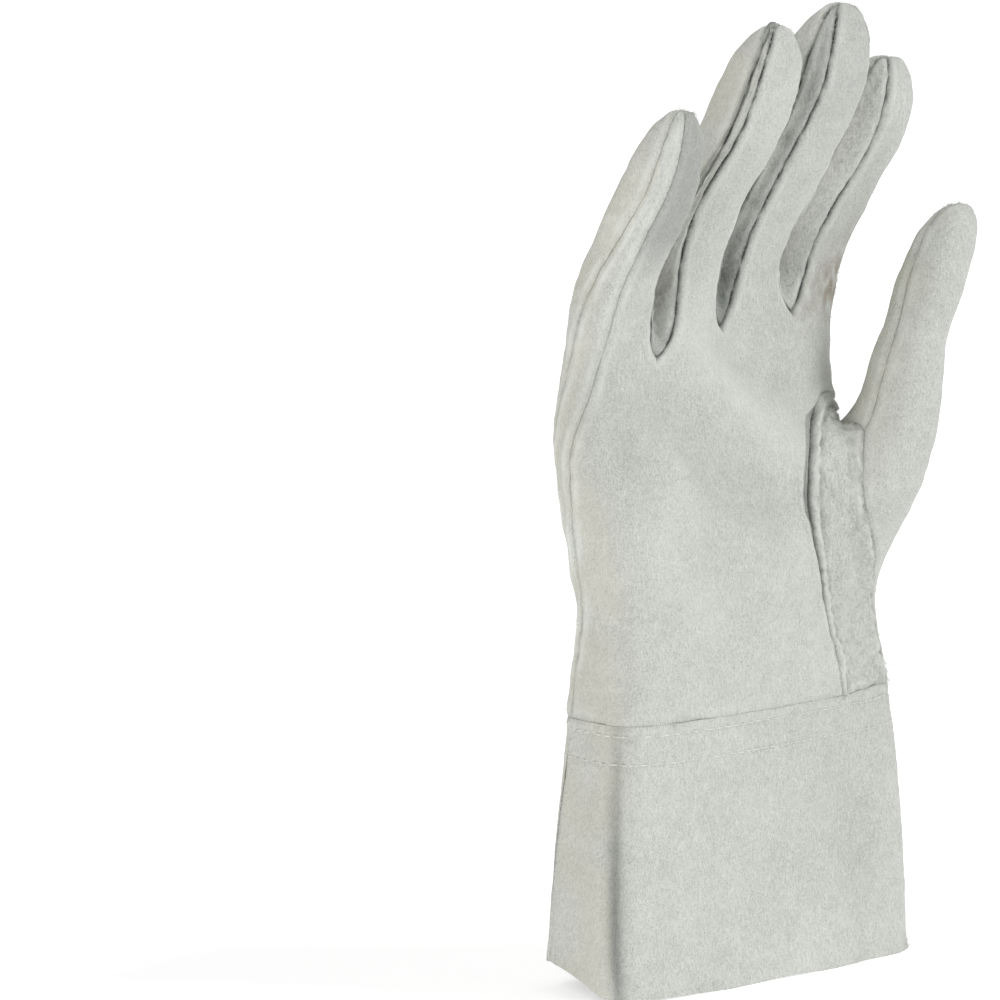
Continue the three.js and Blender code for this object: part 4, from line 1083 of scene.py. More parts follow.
def dress_cuff(panel):
    """A double band under the seam, its two rows sunk a little by the thread, a cut rim that isn't quite
    level and spreads a little, and the fold at the corner with painted shade in its valley. The heights z
    follow the rim as it rises."""
    z = panel.points[:, 2]
    below = CUFF_HEIGHT - z
    step = [CUFF_BAND["height"] + place for place in CUFF_BAND["step"]]
    panel.heights += CUFF_BAND["raised"] * (1 - smooth(*step, below))
    for row in CUFF_ROWS:
        drawn = DRAWN_IN["depth"] + DRAWN_IN["uneven"] * waves(panel.points, "thread")
        panel.heights -= drawn * bell(below - row, DRAWN_IN["width"])
    between = bell(below - CUFF_BAND["swell_place"], CUFF_BAND["swell_width"])
    panel.heights += CUFF_BAND["swell"] * waves(panel.points, "band") * between
    rise = np.clip(RIM["rise"] + RIM["uneven"] * waves(panel.points, "rim_rise"), 0, RIM["most"])
    panel.points[:, 2] += rise * np.exp(-z / RIM["rise_fades"])
    spread_out = RIM["spread"] * np.exp(-z / RIM["spread_fades"])
    panel.heights += spread_out * (1 + waves(panel.points, "rim_spread"))
    path = seam_path(CUFF_FOLD)
    depth, shade = (np.interp(z, CUFF_FOLD[::-1, 0], CUFF_FOLD[::-1, k]) for k in (2, 3))
    away = away_from_lines(panel.points, path[:-1], path[1:])
    panel.heights -= depth * bell(away, FOLD_SHAPE["width"])
    panel.heights += FOLD_SHAPE["swell"] * depth * bell(away - FOLD_SHAPE["swell_place"], FOLD_SHAPE["width"])
    # Painted shade along the fold's valley
    panel.values["groove"] += shade * bell(away, FOLD_SHAPE["shade_width"])


def dress_palm(panel):
    """Along the open crack of the gusset the palm's edge is turned in and sunk, and painted shade greys that
    strip, which narrows towards the cuff. Its stitched arc is a faint groove, its side on the index finger is
    worn brownish, and the fronts of two fingers carry painted shade."""
    x, _, z = panel.points.T
    edge = TURNED_EDGE
    beside_gusset = panel.away_from(["thumb_gusset"])
    opened = smooth(GUSSET["from"], GUSSET["to"], z)
    width = edge["width"] * smooth(GUSSET["from"], edge["full"], z) * (1 - smooth(*edge["ends"], z))
    wavering = beside_gusset + edge["uneven"] * waves(panel.points, "turned_edge")
    turned = 1 - smooth(width - edge["soft"][0], width + edge["soft"][1], wavering)
    panel.heights -= edge["sunk"] * turned
    ridge = edge["ridge"] * bell(beside_gusset - width - edge["ridge_place"], edge["ridge_width"])
    panel.heights += ridge * opened
    # Painted shade on the turned-in strip
    panel.values["groove"] += edge["grey"] * turned
    path = seam_path(PALM_ARC)
    arc = away_from_lines(panel.points, path[:-1], path[1:])
    panel.heights -= ARC_GROOVE["depth"] * bell(arc, ARC_GROOVE["width"])
    uneven = np.clip(WORN_SIDE["even"] + WORN_SIDE["uneven"] * waves(panel.points, "worn_side"), 0, 1)
    side = smooth(*WORN_SIDE["facing"], panel.normals @ RADIAL) * smooth(*WORN_SIDE["x"], x)
    brown = sum(amount * bell(z - height, reach) for height, reach, amount in WORN_PATCHES)
    panel.values["raw"] += side * uneven * brown
    # Painted shade on the fronts of the little and the middle finger
    for low, high, left, right, shade in SHADED_FRONTS:
        across = smooth(left, left + SHADED_FRONT_EDGE, x) * (1 - smooth(right - SHADED_FRONT_EDGE, right, x))
        panel.values["groove"] += shade * smooth(low, high, z) * across


def dress_gusset(panel):
    """Across the gusset from the palm: an open crack, a raised welt, a lumpy hollow strip and a second welt
    beside the thumb. The crack closes towards the cuff. Painted shade darkens the crack and the groove beside
    the welt, and painted highlight lightens the welts."""
    points, z = panel.points, panel.points[:, 2]
    palm_side, thumb_side = panel.away_from(["palm"]), panel.away_from(["thumb_front"])
    below_top = 1 - smooth(*GUSSET["top"], z)
    opened = smooth(GUSSET["from"], GUSSET["to"], z) * below_top
    high = smooth(GUSSET["to"], GUSSET["widest"], z)
    crack = bell(palm_side, mix(*CRACK["width"], high))
    panel.heights -= mix(*CRACK["depth"], opened) * crack * below_top
    welt = palm_side - mix(*WELT["place"], high)
    uneven = 1 + WELT["uneven"] * waves(points, "welts")
    beside_thumb = THUMB_WELT["share"] * bell(thumb_side - THUMB_WELT["place"], THUMB_WELT["width"])
    ridges = uneven * below_top * (bell(welt, WELT["width"]) + beside_thumb)
    panel.heights += WELT["height"] * ridges
    # Painted highlight on the welts
    panel.values["pale"] += WELT["pale"] * ridges
    groove = bell(welt - WELT_GROOVE["place"], WELT_GROOVE["width"]) * below_top
    panel.heights -= WELT_GROOVE["depth"] * groove
    tufts = sum(TUFTS[size] * waves(points, size) for size in ("coarse", "fine"))
    panel.heights += tufts * mix(TUFTS["at_top"], 1, below_top)
    # Painted shade in the crack and in the groove beside the welt
    panel.values["groove"] += CRACK["shade"] * crack * mix(CRACK["closed"], 1, opened) * below_top
    broken = np.clip(1 + WELT_GROOVE["uneven"] * waves(points, "welt_groove"), 0, WELT_GROOVE["most"])
    panel.values["groove"] += WELT_GROOVE["shade"] * groove * broken


def dress_fourchette(panel):
    """The strip between two fingers is sunk between its seams, and painted shade darkens it, both most at
    its foot.
    """
    points, z = panel.points, panel.points[:, 2]
    foot = 1 - smooth(*STRIP["foot"], z)
    hollow = 1 - bell(panel.seam_distance, STRIP["edge"])
    panel.heights -= mix(*STRIP["hollow"], foot) * hollow
    panel.heights += STRIP["lumps"] * waves(points, "strip")
    # Painted shade in the strip between the fingers, deepest at its foot
    dust = STRIP_SHADE[panel.name] * (STRIP["dust"] + STRIP["foot_dust"] * foot)
    uneven = np.clip(1 + STRIP["uneven"] * waves(points, "strip_dust"), 0, STRIP["most"])
    panel.values["groove"] += dust * uneven


def dress_index_back(panel):
    """The worn side shows on the back panel's side of the seam too."""
    z = panel.points[:, 2]
    shown = smooth(*WORN_BACK["begins"], z) * (1 - smooth(*WORN_BACK["ends"], z))
    panel.values["raw"] += WORN_BACK["brown"] * bell(panel.away_from(["palm"]), WORN_BACK["width"]) * shown


def dress_side_strip(panel):
    """The strip along the little finger's outside: both of its edges show as soft ridges."""
    for height, place, width in SIDE_STRIP_RIDGES:
        panel.heights += height * bell(panel.seam_distance - place, width)


DRESSING = {"cuff": dress_cuff, "palm": dress_palm, "thumb_gusset": dress_gusset,
            "back_index": dress_index_back, "side_strip": dress_side_strip,
            **dict.fromkeys(FOURCHETTES, dress_fourchette)}


@lru_cache(maxsize=None)
def smooth_surface():
    return Surface()


@lru_cache(maxsize=None)
def sewn_panel(name, roll_radius):
    """A panel of the glove with its outside dressed."""
    panel = Panel(smooth_surface(), name)
    dress_any(panel, roll_radius)
    if name in DRESSING:
        DRESSING[name](panel)
    panel.draw_back(EDGE_DRAWN_BACK)
    return panel


def new_mesh(name, points, faces, sharp=None):
    """A smooth-shaded mesh from points in metres and four-cornered faces, where a corner that comes twice
    makes a triangle. Edges given as sharp, by the numbers of their ends, keep their crisp look."""
    same = faces == np.roll(faces, -1, axis=1)
    faces = faces[same.sum(1) < 2]
    keep = ~(faces == np.roll(faces, -1, axis=1))
    sizes = keep.sum(1)
    mesh = bpy.data.meshes.new(name)
    mesh.vertices.add(len(points))
    mesh.vertices.foreach_set("co", np.ascontiguousarray(points, np.float32).ravel())
    mesh.loops.add(int(sizes.sum()))
    mesh.loops.foreach_set("vertex_index", faces[keep].astype(np.int32))
    mesh.polygons.add(len(faces))
    mesh.polygons.foreach_set("loop_start", np.concatenate([[0], np.cumsum(sizes)[:-1]]).astype(np.int32))
    mesh.polygons.foreach_set("use_smooth", np.ones(len(faces), bool))
    mesh.update(calc_edges=True)
    if sharp is not None:
        ends = np.empty(2 * len(mesh.edges), np.int32)
        mesh.edges.foreach_get("vertices", ends)
        key = np.sort(ends.reshape(-1, 2), axis=1) @ [len(points), 1]
        crisp = np.isin(key, np.sort(sharp, axis=1) @ [len(points), 1])
        mesh.attributes.new("sharp_edge", "BOOLEAN", "EDGE").data.foreach_set("value", crisp)
    if mesh.validate():
        raise RuntimeError(f"{name} has faces that don't hold together")
    return mesh


def new_piece(name, points, faces, material, slot, nodes=(), values=None, sharp=None):
    """An object in the scene that rides on the glove's one body and stands for its CAD node. The points are
    in millimetres about the hand's own axis."""
    mesh = new_mesh(name, (points + CENTRING) * MM, faces, sharp)
    for key, value in (values or {}).items():
        layer = mesh.attributes.new(key, "FLOAT", "POINT")
        layer.data.foreach_set("value", value.astype(np.float32))
    mesh.materials.append(material)
    piece = bpy.data.objects.new(name, mesh)
    bpy.context.scene.collection.objects.link(piece)
    if nodes:
        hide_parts(*nodes)
    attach(piece, "root")
    return piece


def sew(context, name, material, slot):
    """Builds one panel's piece: its closed wall with the values that its material reads."""
    sizes = context.scene.glove_sizes
    panel = sewn_panel(name, sizes.seam_roll / MM)
    thickness = (sizes.cuff_leather if name == "cuff" else sizes.leather) / MM
    points, faces = panel.wall(thickness)
    values = {key: np.tile(np.clip(value, 0, 1), 2) for key, value in panel.values.items()}
    return new_piece("leather_" + name, points, faces, material, slot, [name], values, panel.edges)


def nearest_place(panel, points, chunk=200):
    """For each point the panel's nearest raised point and its outward direction."""
    raised = panel.raised()
    best = []
    for k in range(0, len(points), chunk):
        apart = points[k:k + chunk, None] - raised[None]
        best.append((apart ** 2).sum(2).argmin(1))
    best = np.concatenate(best)
    return raised[best], panel.normals[best]


def laid_on(panel, points):
    """The points moved square to the panel onto its raised outside, and the outward directions there."""
    near, normal = nearest_place(panel, points)
    return points - ((points - near) * normal).sum(1, keepdims=True) * normal, normal


def tubes(centres, normals, radii, sides):
    """Closed round tubes along many paths at once. A path's ring at each point is a circle across its
    direction, and each end closes on one point. Centres and normals have one row for each path."""
    count, steps = centres.shape[:2]
    along = np.gradient(centres, axis=1)
    along /= np.linalg.norm(along, axis=2, keepdims=True).clip(1e-9)
    side = np.cross(along, normals)
    side /= np.linalg.norm(side, axis=2, keepdims=True).clip(1e-9)
    up = np.cross(side, along)
    turn = 2 * np.pi * np.arange(sides) / sides
    ring = (side[:, :, None] * np.cos(turn)[:, None] + up[:, :, None] * np.sin(turn)[:, None])
    rings = centres[:, :, None] + ring * radii[:, :, None, None]
    first_end = centres[:, 0] - along[:, 0] * radii[:, :1]
    last_end = centres[:, -1] + along[:, -1] * radii[:, -1:]
    ends = np.stack([first_end, last_end], axis=1)
    points = np.concatenate([rings.reshape(count, -1, 3), ends], axis=1)
    level, around = np.meshgrid(np.arange(steps - 1), np.arange(sides), indexing="ij")
    following = (around + 1) % sides
    body = np.stack([level * sides + around, level * sides + following, (level + 1) * sides + following,
                     (level + 1) * sides + around], axis=-1).reshape(-1, 4)
    k = np.arange(sides)
    first, last = np.full(sides, steps * sides), np.full(sides, steps * sides + 1)
    foot = (steps - 1) * sides
    start = np.stack([(k + 1) % sides, k, first, first], axis=1)
    finish = np.stack([foot + k, foot + (k + 1) % sides, last, last], axis=1)
    faces = np.vstack([body, start, finish])
    number = steps * sides + 2
    return points.reshape(-1, 3), (faces[None] + number * np.arange(count)[:, None, None]).reshape(-1, 4)


def stitches(panel, path, pitch, length, radius, arch):
    """A row of stitches along a path: each is a short tube that rises from the leather as a sine arch and
    dips into it at both ends."""
    walked = np.concatenate([[0], np.cumsum(np.linalg.norm(np.diff(path, axis=0), axis=1))])
    begin = np.arange(0.5 * pitch, walked[-1] - length, pitch)
    rng = np.random.default_rng(len(begin))
    share = np.linspace(0, 1, 7)
    at = (begin + rng.normal(0, STITCH["wander"], len(begin)))[:, None] + share * length
    centres = np.stack([np.interp(at, walked, path[:, k]) for k in range(3)], axis=-1)
    laid, normal = laid_on(panel, centres.reshape(-1, 3))
    bow = np.sin(np.pi * share)
    lift = (arch * bow - STITCH["dip"] * radius * np.abs(2 * share - 1) ** 3)[:, None]
    centres = laid.reshape(centres.shape) + normal.reshape(centres.shape) * lift
    radii = np.full(at.shape, radius) * mix(STITCH["thin"], 1, bow)
    return tubes(centres, normal.reshape(centres.shape), radii, 6)


def joined(parts):
    """Several lots of points and faces as one."""
    starts = np.cumsum([0] + [len(points) for points, _ in parts[:-1]])
    faces = [faces + start for (_, faces), start in zip(parts, starts)]
    return np.vstack([points for points, _ in parts]), np.vstack(faces)


# A loose fibre's looks: how much it curls, how its length and its stand vary, how far its root lies aside and
# under the surface, its radius, and what is left of that at its tip
FIBRE = {"curl": 0.45, "lengths": (0.45, 1.5), "stands": (0.4, 1.4), "aside": 0.25, "rooted": 0.1,
         "radii": (0.03, 0.055), "tip": 0.35}


def fibres(panel, weights, count, length, lift, seed, lean=(0, 0, 0)):
    """Loose fibres: thin tubes that start on the leather, lean a random way along it and curl, with the
    square of the way along them. Weights say where they grow, and lift how far they stand off."""
    rng = np.random.default_rng(seed)
    raised = panel.raised()
    chosen = rng.choice(len(raised), count, p=weights / weights.sum())
    normal = panel.normals[chosen]
    loose = rng.normal(size=(count, 3)) + np.array(lean)
    flat = loose - (loose * normal).sum(1, keepdims=True) * normal
    flat /= np.linalg.norm(flat, axis=1, keepdims=True).clip(1e-9)
    curl = rng.normal(size=(count, 3)) * FIBRE["curl"]
    size = length * rng.uniform(*FIBRE["lengths"], (count, 1, 1))
    t = np.linspace(0, 1, 4)[None, :, None]
    stand = lift * rng.uniform(*FIBRE["stands"], (count, 1, 1))
    heading = flat[:, None] + normal[:, None] * stand
    aside = rng.normal(0, FIBRE["aside"], (count, 3)) * (1 - np.abs(normal))
    root = raised[chosen] + aside - FIBRE["rooted"] * normal
    centres = root[:, None] + size * (heading * t + curl[:, None] * t**2)
    centres[..., 2] = np.maximum(centres[..., 2], 0.1)
    radii = np.linspace(1, FIBRE["tip"], 4)[None] * rng.uniform(*FIBRE["radii"], (count, 1))
    return tubes(centres, np.repeat(normal[:, None], 4, axis=1), radii, 3)


def linear(code):
    """An sRGB hex colour as linear red, green and blue."""
    parts = [int(code[k:k + 2], 16) / 255 for k in (1, 3, 5)]
    return tuple(c / 12.92 if c <= 0.04045 else ((c + 0.055) / 1.055) ** 2.4 for c in parts)


def node(tree, kind, settings=None, **links):
    """Adds a node: settings are its properties, and links its inputs by name or as in0, in1, each a value
    or a socket."""
    made = tree.nodes.new(kind)
    for key, value in (settings or {}).items():
        setattr(made, key, value)
    for key, value in links.items():
        numbered = key.startswith("in") and key[2:].isdigit()
        socket = made.inputs[int(key[2:]) if numbered else key.replace("_", " ")]
        if isinstance(value, bpy.types.NodeSocket):
            tree.links.new(value, socket)
        else:
            socket.default_value = value
    return made


def new_material(name):
    material = bpy.data.materials.new(name)
    material.use_nodes = True
    material.node_tree.nodes.clear()
    return material


def ramp(tree, factor, stops):
    """A colour ramp through stops of place and colour."""
    made = node(tree, "ShaderNodeValToRGB", Fac=factor)
    elements = made.color_ramp.elements
    while len(elements) < len(stops):
        elements.new(0.5)
    for element, (place, colour) in zip(elements, stops):
        element.position = place
        element.color = (*colour[:3], 1)
    return made.outputs["Color"]


def mixed(tree, share, first, second, kind="MIX"):
    settings = {"data_type": "RGBA", "blend_type": kind}
    return node(tree, "ShaderNodeMix", settings, in0=share, in6=first, in7=second).outputs[2]


# The ways that the strands of the nap lie, as turns of an upright strand
STRAND_TURNS = ((0.12, -0.2, 0.0), (-0.4, 0.45, 0.2), (0.9, 0.5, -0.4))


def split_suede(name, colours, nap_mm, depth_mm):
    """Split leather, brushed and left raw. Its whole surface is a dry mat of short fibres with no grain
    side, so it has no gloss and the eye sees only short crisp fibres of nap that lie every way, tiny tufts
    that hold their own shadows, and a faint cloudiness. Painted shade greys seams, folds, cracks and the
    strips between the fingers, painted highlight lightens ridges and crests, and old edges are browner."""
    material = new_material(name)
    tree = material.node_tree
    place = node(tree, "ShaderNodeTexCoord").outputs["Object"]

    def noise(width_mm, detail, length_mm=None, turn=(0, 0, 0)):
        size = (width_mm * MM, width_mm * MM, (length_mm or width_mm) * MM)
        mapped = node(tree, "ShaderNodeMapping", {"vector_type": "TEXTURE"}, Vector=place, Rotation=turn,
                      Scale=size)
        return node(tree, "ShaderNodeTexNoise", Vector=mapped.outputs["Vector"], Scale=1.0,
                    Detail=detail, Roughness=0.62).outputs["Fac"]

    def between(share, first, second):
        made = node(tree, "ShaderNodeMix", {"data_type": "FLOAT"}, in0=share, in2=first, in3=second)
        return made.outputs[0]

    clouds = noise(24, 3)
    blotches = noise(5, 3)
    strands = noise(nap_mm, 2, 7 * nap_mm, STRAND_TURNS[0])
    for turn in STRAND_TURNS[1:]:
        other = noise(nap_mm, 2, 5 * nap_mm, turn)
        strands = node(tree, "ShaderNodeMath", {"operation": "MAXIMUM"}, in0=strands, in1=other).outputs[0]
    specks = noise(nap_mm, 3)
    nap = between(0.3, strands, specks)
    cloudy = between(0.45, clouds, blotches)
    tone = between(0.8, cloudy, nap)
    suede = ramp(tree, tone, ((0.38, colours.suede_deep), (0.49, colours.suede_shade), (0.57, colours.suede),
                              (0.7, colours.suede_light_and_highlight)))
    beige = ramp(tree, tone, ((0.42, colours.warm_shade), (0.66, colours.warm)))

    # Reads a value baked on the leather: real wear and beige tone, and also painted shade (groove) and
    # painted highlight (pale)
    def worn(key):
        return node(tree, "ShaderNodeAttribute", {"attribute_name": key}).outputs["Fac"]

    colour = mixed(tree, worn("warmth"), suede, beige)
    # Painted highlight on ridges, welts and fold crests
    colour = mixed(tree, worn("pale"), colour, (*colours.suede_light_and_highlight, 1))
    colour = mixed(tree, worn("raw"), colour, (*colours.raw_edge, 1))
    # Painted shade: the groove values multiply the shade colour in
    colour = mixed(tree, worn("groove"), colour, (*colours.dust, 1), "MULTIPLY")
    small = node(tree, "ShaderNodeBump", Strength=0.9, Distance=depth_mm * MM, Height=nap)
    large = node(tree, "ShaderNodeBump", Strength=0.4, Distance=3 * depth_mm * MM, Height=blotches,
                 Normal=small.outputs["Normal"])
    shader = node(tree, "ShaderNodeBsdfPrincipled", Base_Color=colour, Roughness=0.95, IOR=1.45,
                  Sheen_Weight=0.12, Sheen_Roughness=0.6, Normal=large.outputs["Normal"])
    shader.inputs["Specular IOR Level"].default_value = 0.12
    node(tree, "ShaderNodeOutputMaterial", Surface=shader.outputs["BSDF"])
    return material


def cotton_thread(name, colour):
    """Waxed cotton sewing thread: plied, so fine slanted ridges cross each stitch, with a dull shine."""
    material = new_material(name)
    tree = material.node_tree
    place = node(tree, "ShaderNodeTexCoord").outputs["Object"]
    plies = node(tree, "ShaderNodeTexWave", {"bands_direction": "DIAGONAL"}, Vector=place,
                 Scale=1 / (4.5 * MM), Distortion=1.5)
    bump = node(tree, "ShaderNodeBump", Strength=0.5, Distance=0.08 * MM, Height=plies.outputs["Fac"])
    # Painted shade in the valleys between the plies
    tone = ramp(tree, plies.outputs["Fac"], ((0.1, [0.8 * c for c in colour]), (0.8, colour)))
    shader = node(tree, "ShaderNodeBsdfPrincipled", Base_Color=tone, Roughness=0.75, IOR=1.5,
                  Normal=bump.outputs["Normal"])
    node(tree, "ShaderNodeOutputMaterial", Surface=shader.outputs["BSDF"])
    return material


def leather_fibre(name, colour):
    """Single collagen fibres brushed up from the split: pale, matt and slightly see-through, so their tone
    wavers from one to the next."""
    material = new_material(name)
    tree = material.node_tree
    place = node(tree, "ShaderNodeTexCoord").outputs["Object"]
    wavering = node(tree, "ShaderNodeTexNoise", Vector=place, Scale=1 / (3 * MM), Detail=2)
    tone = ramp(tree, wavering.outputs["Fac"], ((0.4, [0.72 * c for c in colour]), (0.6, colour)))
    shader = node(tree, "ShaderNodeBsdfPrincipled", Base_Color=tone, Roughness=0.85, IOR=1.5)
    node(tree, "ShaderNodeOutputMaterial", Surface=shader.outputs["BSDF"])
    return material


# How much light the paper lets through from below
PAPER_GLOW = 0.45


def white_paper(name, colour):
    """Matt white paper on a light table: no gloss and a fine tooth, lit from below, so it carries only the
    faintest shadow."""
    material = new_material(name)
    tree = material.node_tree
    place = node(tree, "ShaderNodeTexCoord").outputs["Object"]
    tooth = node(tree, "ShaderNodeTexNoise", Vector=place, Scale=1 / (0.6 * MM), Detail=2)
    bump = node(tree, "ShaderNodeBump", Strength=0.1, Distance=0.05 * MM, Height=tooth.outputs["Fac"])
    shader = node(tree, "ShaderNodeBsdfPrincipled", Base_Color=(*colour, 1), Roughness=0.9,
                  Normal=bump.outputs["Normal"], Emission_Color=(*colour, 1), Emission_Strength=PAPER_GLOW)
    node(tree, "ShaderNodeOutputMaterial", Surface=shader.outputs["BSDF"])
    return material


# The width of a strand and the depth of the nap in millimetres, drawn coarse enough to show
SUEDES = {"split_suede": (0.42, 0.45), "fuzzy_split_suede": (0.6, 0.6)}
SLOTS = {"split_suede": "suede", "fuzzy_split_suede": "fuzzy_suede"}


def finish(context, name):
    """The material of that name, made from the colours on its first use."""
    made = bpy.data.materials.get(name)
    if made:
        return made
    colours = context.scene.glove_colours
    if name in SUEDES:
        return split_suede(name, colours, *SUEDES[name])
    if name == "cotton_thread":
        return cotton_thread(name, tuple(colours.thread))
    if name == "leather_fibre":
        return leather_fibre(name, tuple(colours.fibre))
    return white_paper(name, tuple(colours.paper))


def seen_from(azimuth, elevation):
    """The direction from the glove towards an eye or a lamp: azimuth 0 is in front of the palm, and
    elevation is measured from the floor."""
    a, e = math.radians(azimuth), math.radians(elevation)
    return Vector((math.sin(a) * math.cos(e), -math.cos(a) * math.cos(e), math.sin(e)))


# The camera's place and frame, and where in the frame the middle of the glove's height stands
VIEW = {"azimuth": -50, "elevation": 8, "distance": 1500, "frame": 264.5, "height": 128,
        "aside": 256.3, "above": 8, "pixels": 1000, "sensor": 36}
LAMPS = {
    # name: azimuth, elevation, strength, angle in degrees
    "window": (40, 46, 1.3, 18),
    "reflector": (-78, 34, 0.98, 40),
}
# How strongly the tent lights the glove
TENT_LIGHT = 0.355
# Half the side of the floor, in metres
FLOOR_HALF = 12


def build_camera():
    """Aims the camera so that the axis through the glove's middle falls on its place in the frame."""
    back = seen_from(VIEW["azimuth"], VIEW["elevation"])
    right = Vector((math.cos(math.radians(VIEW["azimuth"])), math.sin(math.radians(VIEW["azimuth"])), 0))
    up = back.cross(right)
    middle = Vector((0, 0, VIEW["height"]))
    pixel = VIEW["frame"] / VIEW["pixels"]
    aim = middle - right * VIEW["aside"] * pixel - up * VIEW["above"] * pixel
    place = middle + back * VIEW["distance"]
    camera = bpy.data.objects.new("camera", bpy.data.cameras.new("camera"))
    camera.location = place * MM
    camera.rotation_euler = (place - aim).to_track_quat("Z", "Y").to_euler()
    camera.data.sensor_width = VIEW["sensor"]
    camera.data.lens = VIEW["sensor"] * VIEW["distance"] / VIEW["frame"]
    bpy.context.scene.collection.objects.link(camera)
    bpy.context.scene.camera = camera


def build_world():
    """A white tent: what the camera sees past the floor is plain white, and it lights the glove more
    softly than that."""
    world = bpy.data.worlds.new("white_tent")
    world.use_nodes = True
    tree = world.node_tree
    tree.nodes.clear()
    seen = node(tree, "ShaderNodeLightPath").outputs["Is Camera Ray"]
    strength = node(tree, "ShaderNodeMix", {"data_type": "FLOAT"}, in0=seen, in2=TENT_LIGHT, in3=1.0)
    tent = node(tree, "ShaderNodeBackground", Color=(1, 1, 1, 1), Strength=strength.outputs[0])
    node(tree, "ShaderNodeOutputWorld", Surface=tent.outputs["Background"])
    bpy.context.scene.world = world


def build_lamps():
    for name, (azimuth, elevation, strength, angle) in LAMPS.items():
        lamp = bpy.data.lights.new(name, "SUN")
        lamp.energy, lamp.angle = strength, math.radians(angle)
        made = bpy.data.objects.new(name, lamp)
        made.rotation_euler = seen_from(azimuth, elevation).to_track_quat("Z", "Y").to_euler()
        bpy.context.scene.collection.objects.link(made)


def length_property(name, description, millimetres, least, most):
    return FloatProperty(name=name, description=description, default=millimetres * MM, min=least * MM,
                         max=most * MM, unit="LENGTH", precision=5)


def colour_property(name, description, code):
    return FloatVectorProperty(name=name, description=description, default=linear(code), size=3, min=0, max=1,
                               subtype="COLOR")


class GLOVE_PG_sizes(bpy.types.PropertyGroup):
    """Sizes that a maker would change."""
    leather: length_property("Leather", "Thickness of the hand's leather", 1.6, 1, 2.4)
    cuff_leather: length_property("Cuff leather", "Thickness of the cuff's leather", 1.9, 1, 3)
    seam_roll: length_property("Seam roll", "Radius of the rolled edge at a seam", 0.6, 0.2, 3)
    stitch_pitch: length_property("Stitch pitch", "From one stitch to the next", STITCH["pitch"], 1.5, 6)
    fibre_length: length_property("Fibre length", "Usual length of a loose fibre", 1.3, 0.3, 6)
    fibre_share: FloatProperty(name="Fibres", description="How many of the loose fibres are laid",
                               default=1, min=0.05, max=2, subtype="FACTOR")


class GLOVE_PG_colours(bpy.types.PropertyGroup):
    """Colours of the leather, thread and paper."""
    suede: colour_property("Suede", "The leather's main tone", "#CECFCA")
    # Also the colour of the painted highlight on ridges, welts and fold crests
    suede_light_and_highlight: colour_property("Suede, light", "Tips of brushed nap", "#DFE2DC")
    suede_shade: colour_property("Suede, shade", "Between tufts", "#BBBEB8")
    suede_deep: colour_property("Suede, deep", "Bottom of the nap", "#A0A49D")
    warm: colour_property("Beige suede", "Leather of the little finger's side", "#D0CEC2")
    warm_shade: colour_property("Beige suede, shade", "The same between tufts", "#B7B5A8")
    raw_edge: colour_property("Raw edge", "Worn or cut edges", "#84745C")
    # The colour of the painted shade along seams, in folds, cracks and grooves, and between the fingers
    dust: colour_property("Dust", "What has settled in grooves", "#6F7673")
    thread: colour_property("Thread", "The cuff's topstitching", "#E3E3DC")
    fibre: colour_property("Fibre", "Loose fibres", "#E2E4DE")
    paper: colour_property("Paper", "The floor", "#FFFFFF")


class GLOVE_OT_stage(bpy.types.Operator):
    """Sets the paper floor, the tent, its lamps and the camera"""
    bl_idname = "glove.stage"
    bl_label = "Stage"

    def execute(self, context):
        context.scene.view_settings.view_transform = "Standard"
        half = FLOOR_HALF
        corners = np.array([(-half, -half, 0), (half, -half, 0), (half, half, 0), (-half, half, 0)], float)
        floor = bpy.data.objects.new("floor", new_mesh("floor", corners, np.array([[0, 1, 2, 3]])))
        floor.data.materials.append(finish(context, "white_paper"))
        context.scene.collection.objects.link(floor)
        build_world()
        build_lamps()
        build_camera()
        return {"FINISHED"}


class SewsPanels:
    """What the operators that sew panels share: each lists its panels by their material."""

    def execute(self, context):
        for material, names in self.panels.items():
            for name in names:
                sew(context, name, finish(context, material), SLOTS[material])
        return {"FINISHED"}


class GLOVE_OT_cuff(SewsPanels, bpy.types.Operator):
    """Makes the cuff, an open tube with a double band under its seam"""
    bl_idname = "glove.cuff"
    bl_label = "Cuff"
    panels = {"split_suede": ("cuff",)}


class GLOVE_OT_palm(SewsPanels, bpy.types.Operator):
    """Makes the palm with the fronts of the four fingers"""
    bl_idname = "glove.palm"
    bl_label = "Palm"
    panels = {"split_suede": ("palm",)}


class GLOVE_OT_backs(SewsPanels, bpy.types.Operator):
    """Makes the four long panels of the back, from fingertip to cuff"""
    bl_idname = "glove.backs"
    bl_label = "Backs"
    panels = {"split_suede": ["back_" + name for name in HAND_FINGERS]}


class GLOVE_OT_strips(SewsPanels, bpy.types.Operator):
    """Makes the strip along the little finger and the three strips between the fingers"""
    bl_idname = "glove.strips"
    bl_label = "Strips"
    panels = {"split_suede": ("side_strip",), "fuzzy_split_suede": FOURCHETTES}


class GLOVE_OT_thumb(SewsPanels, bpy.types.Operator):
    """Makes the thumb from its front, its back and the strip on its inner side"""
    bl_idname = "glove.thumb"
    bl_label = "Thumb"
    panels = {"split_suede": ("thumb_front", "thumb_back", "thumb_strip")}


class GLOVE_OT_gusset(SewsPanels, bpy.types.Operator):
    """Makes the fuzzy welted gusset between the palm and the thumb"""
    bl_idname = "glove.gusset"
    bl_label = "Gusset"
    panels = {"fuzzy_split_suede": ("thumb_gusset",)}


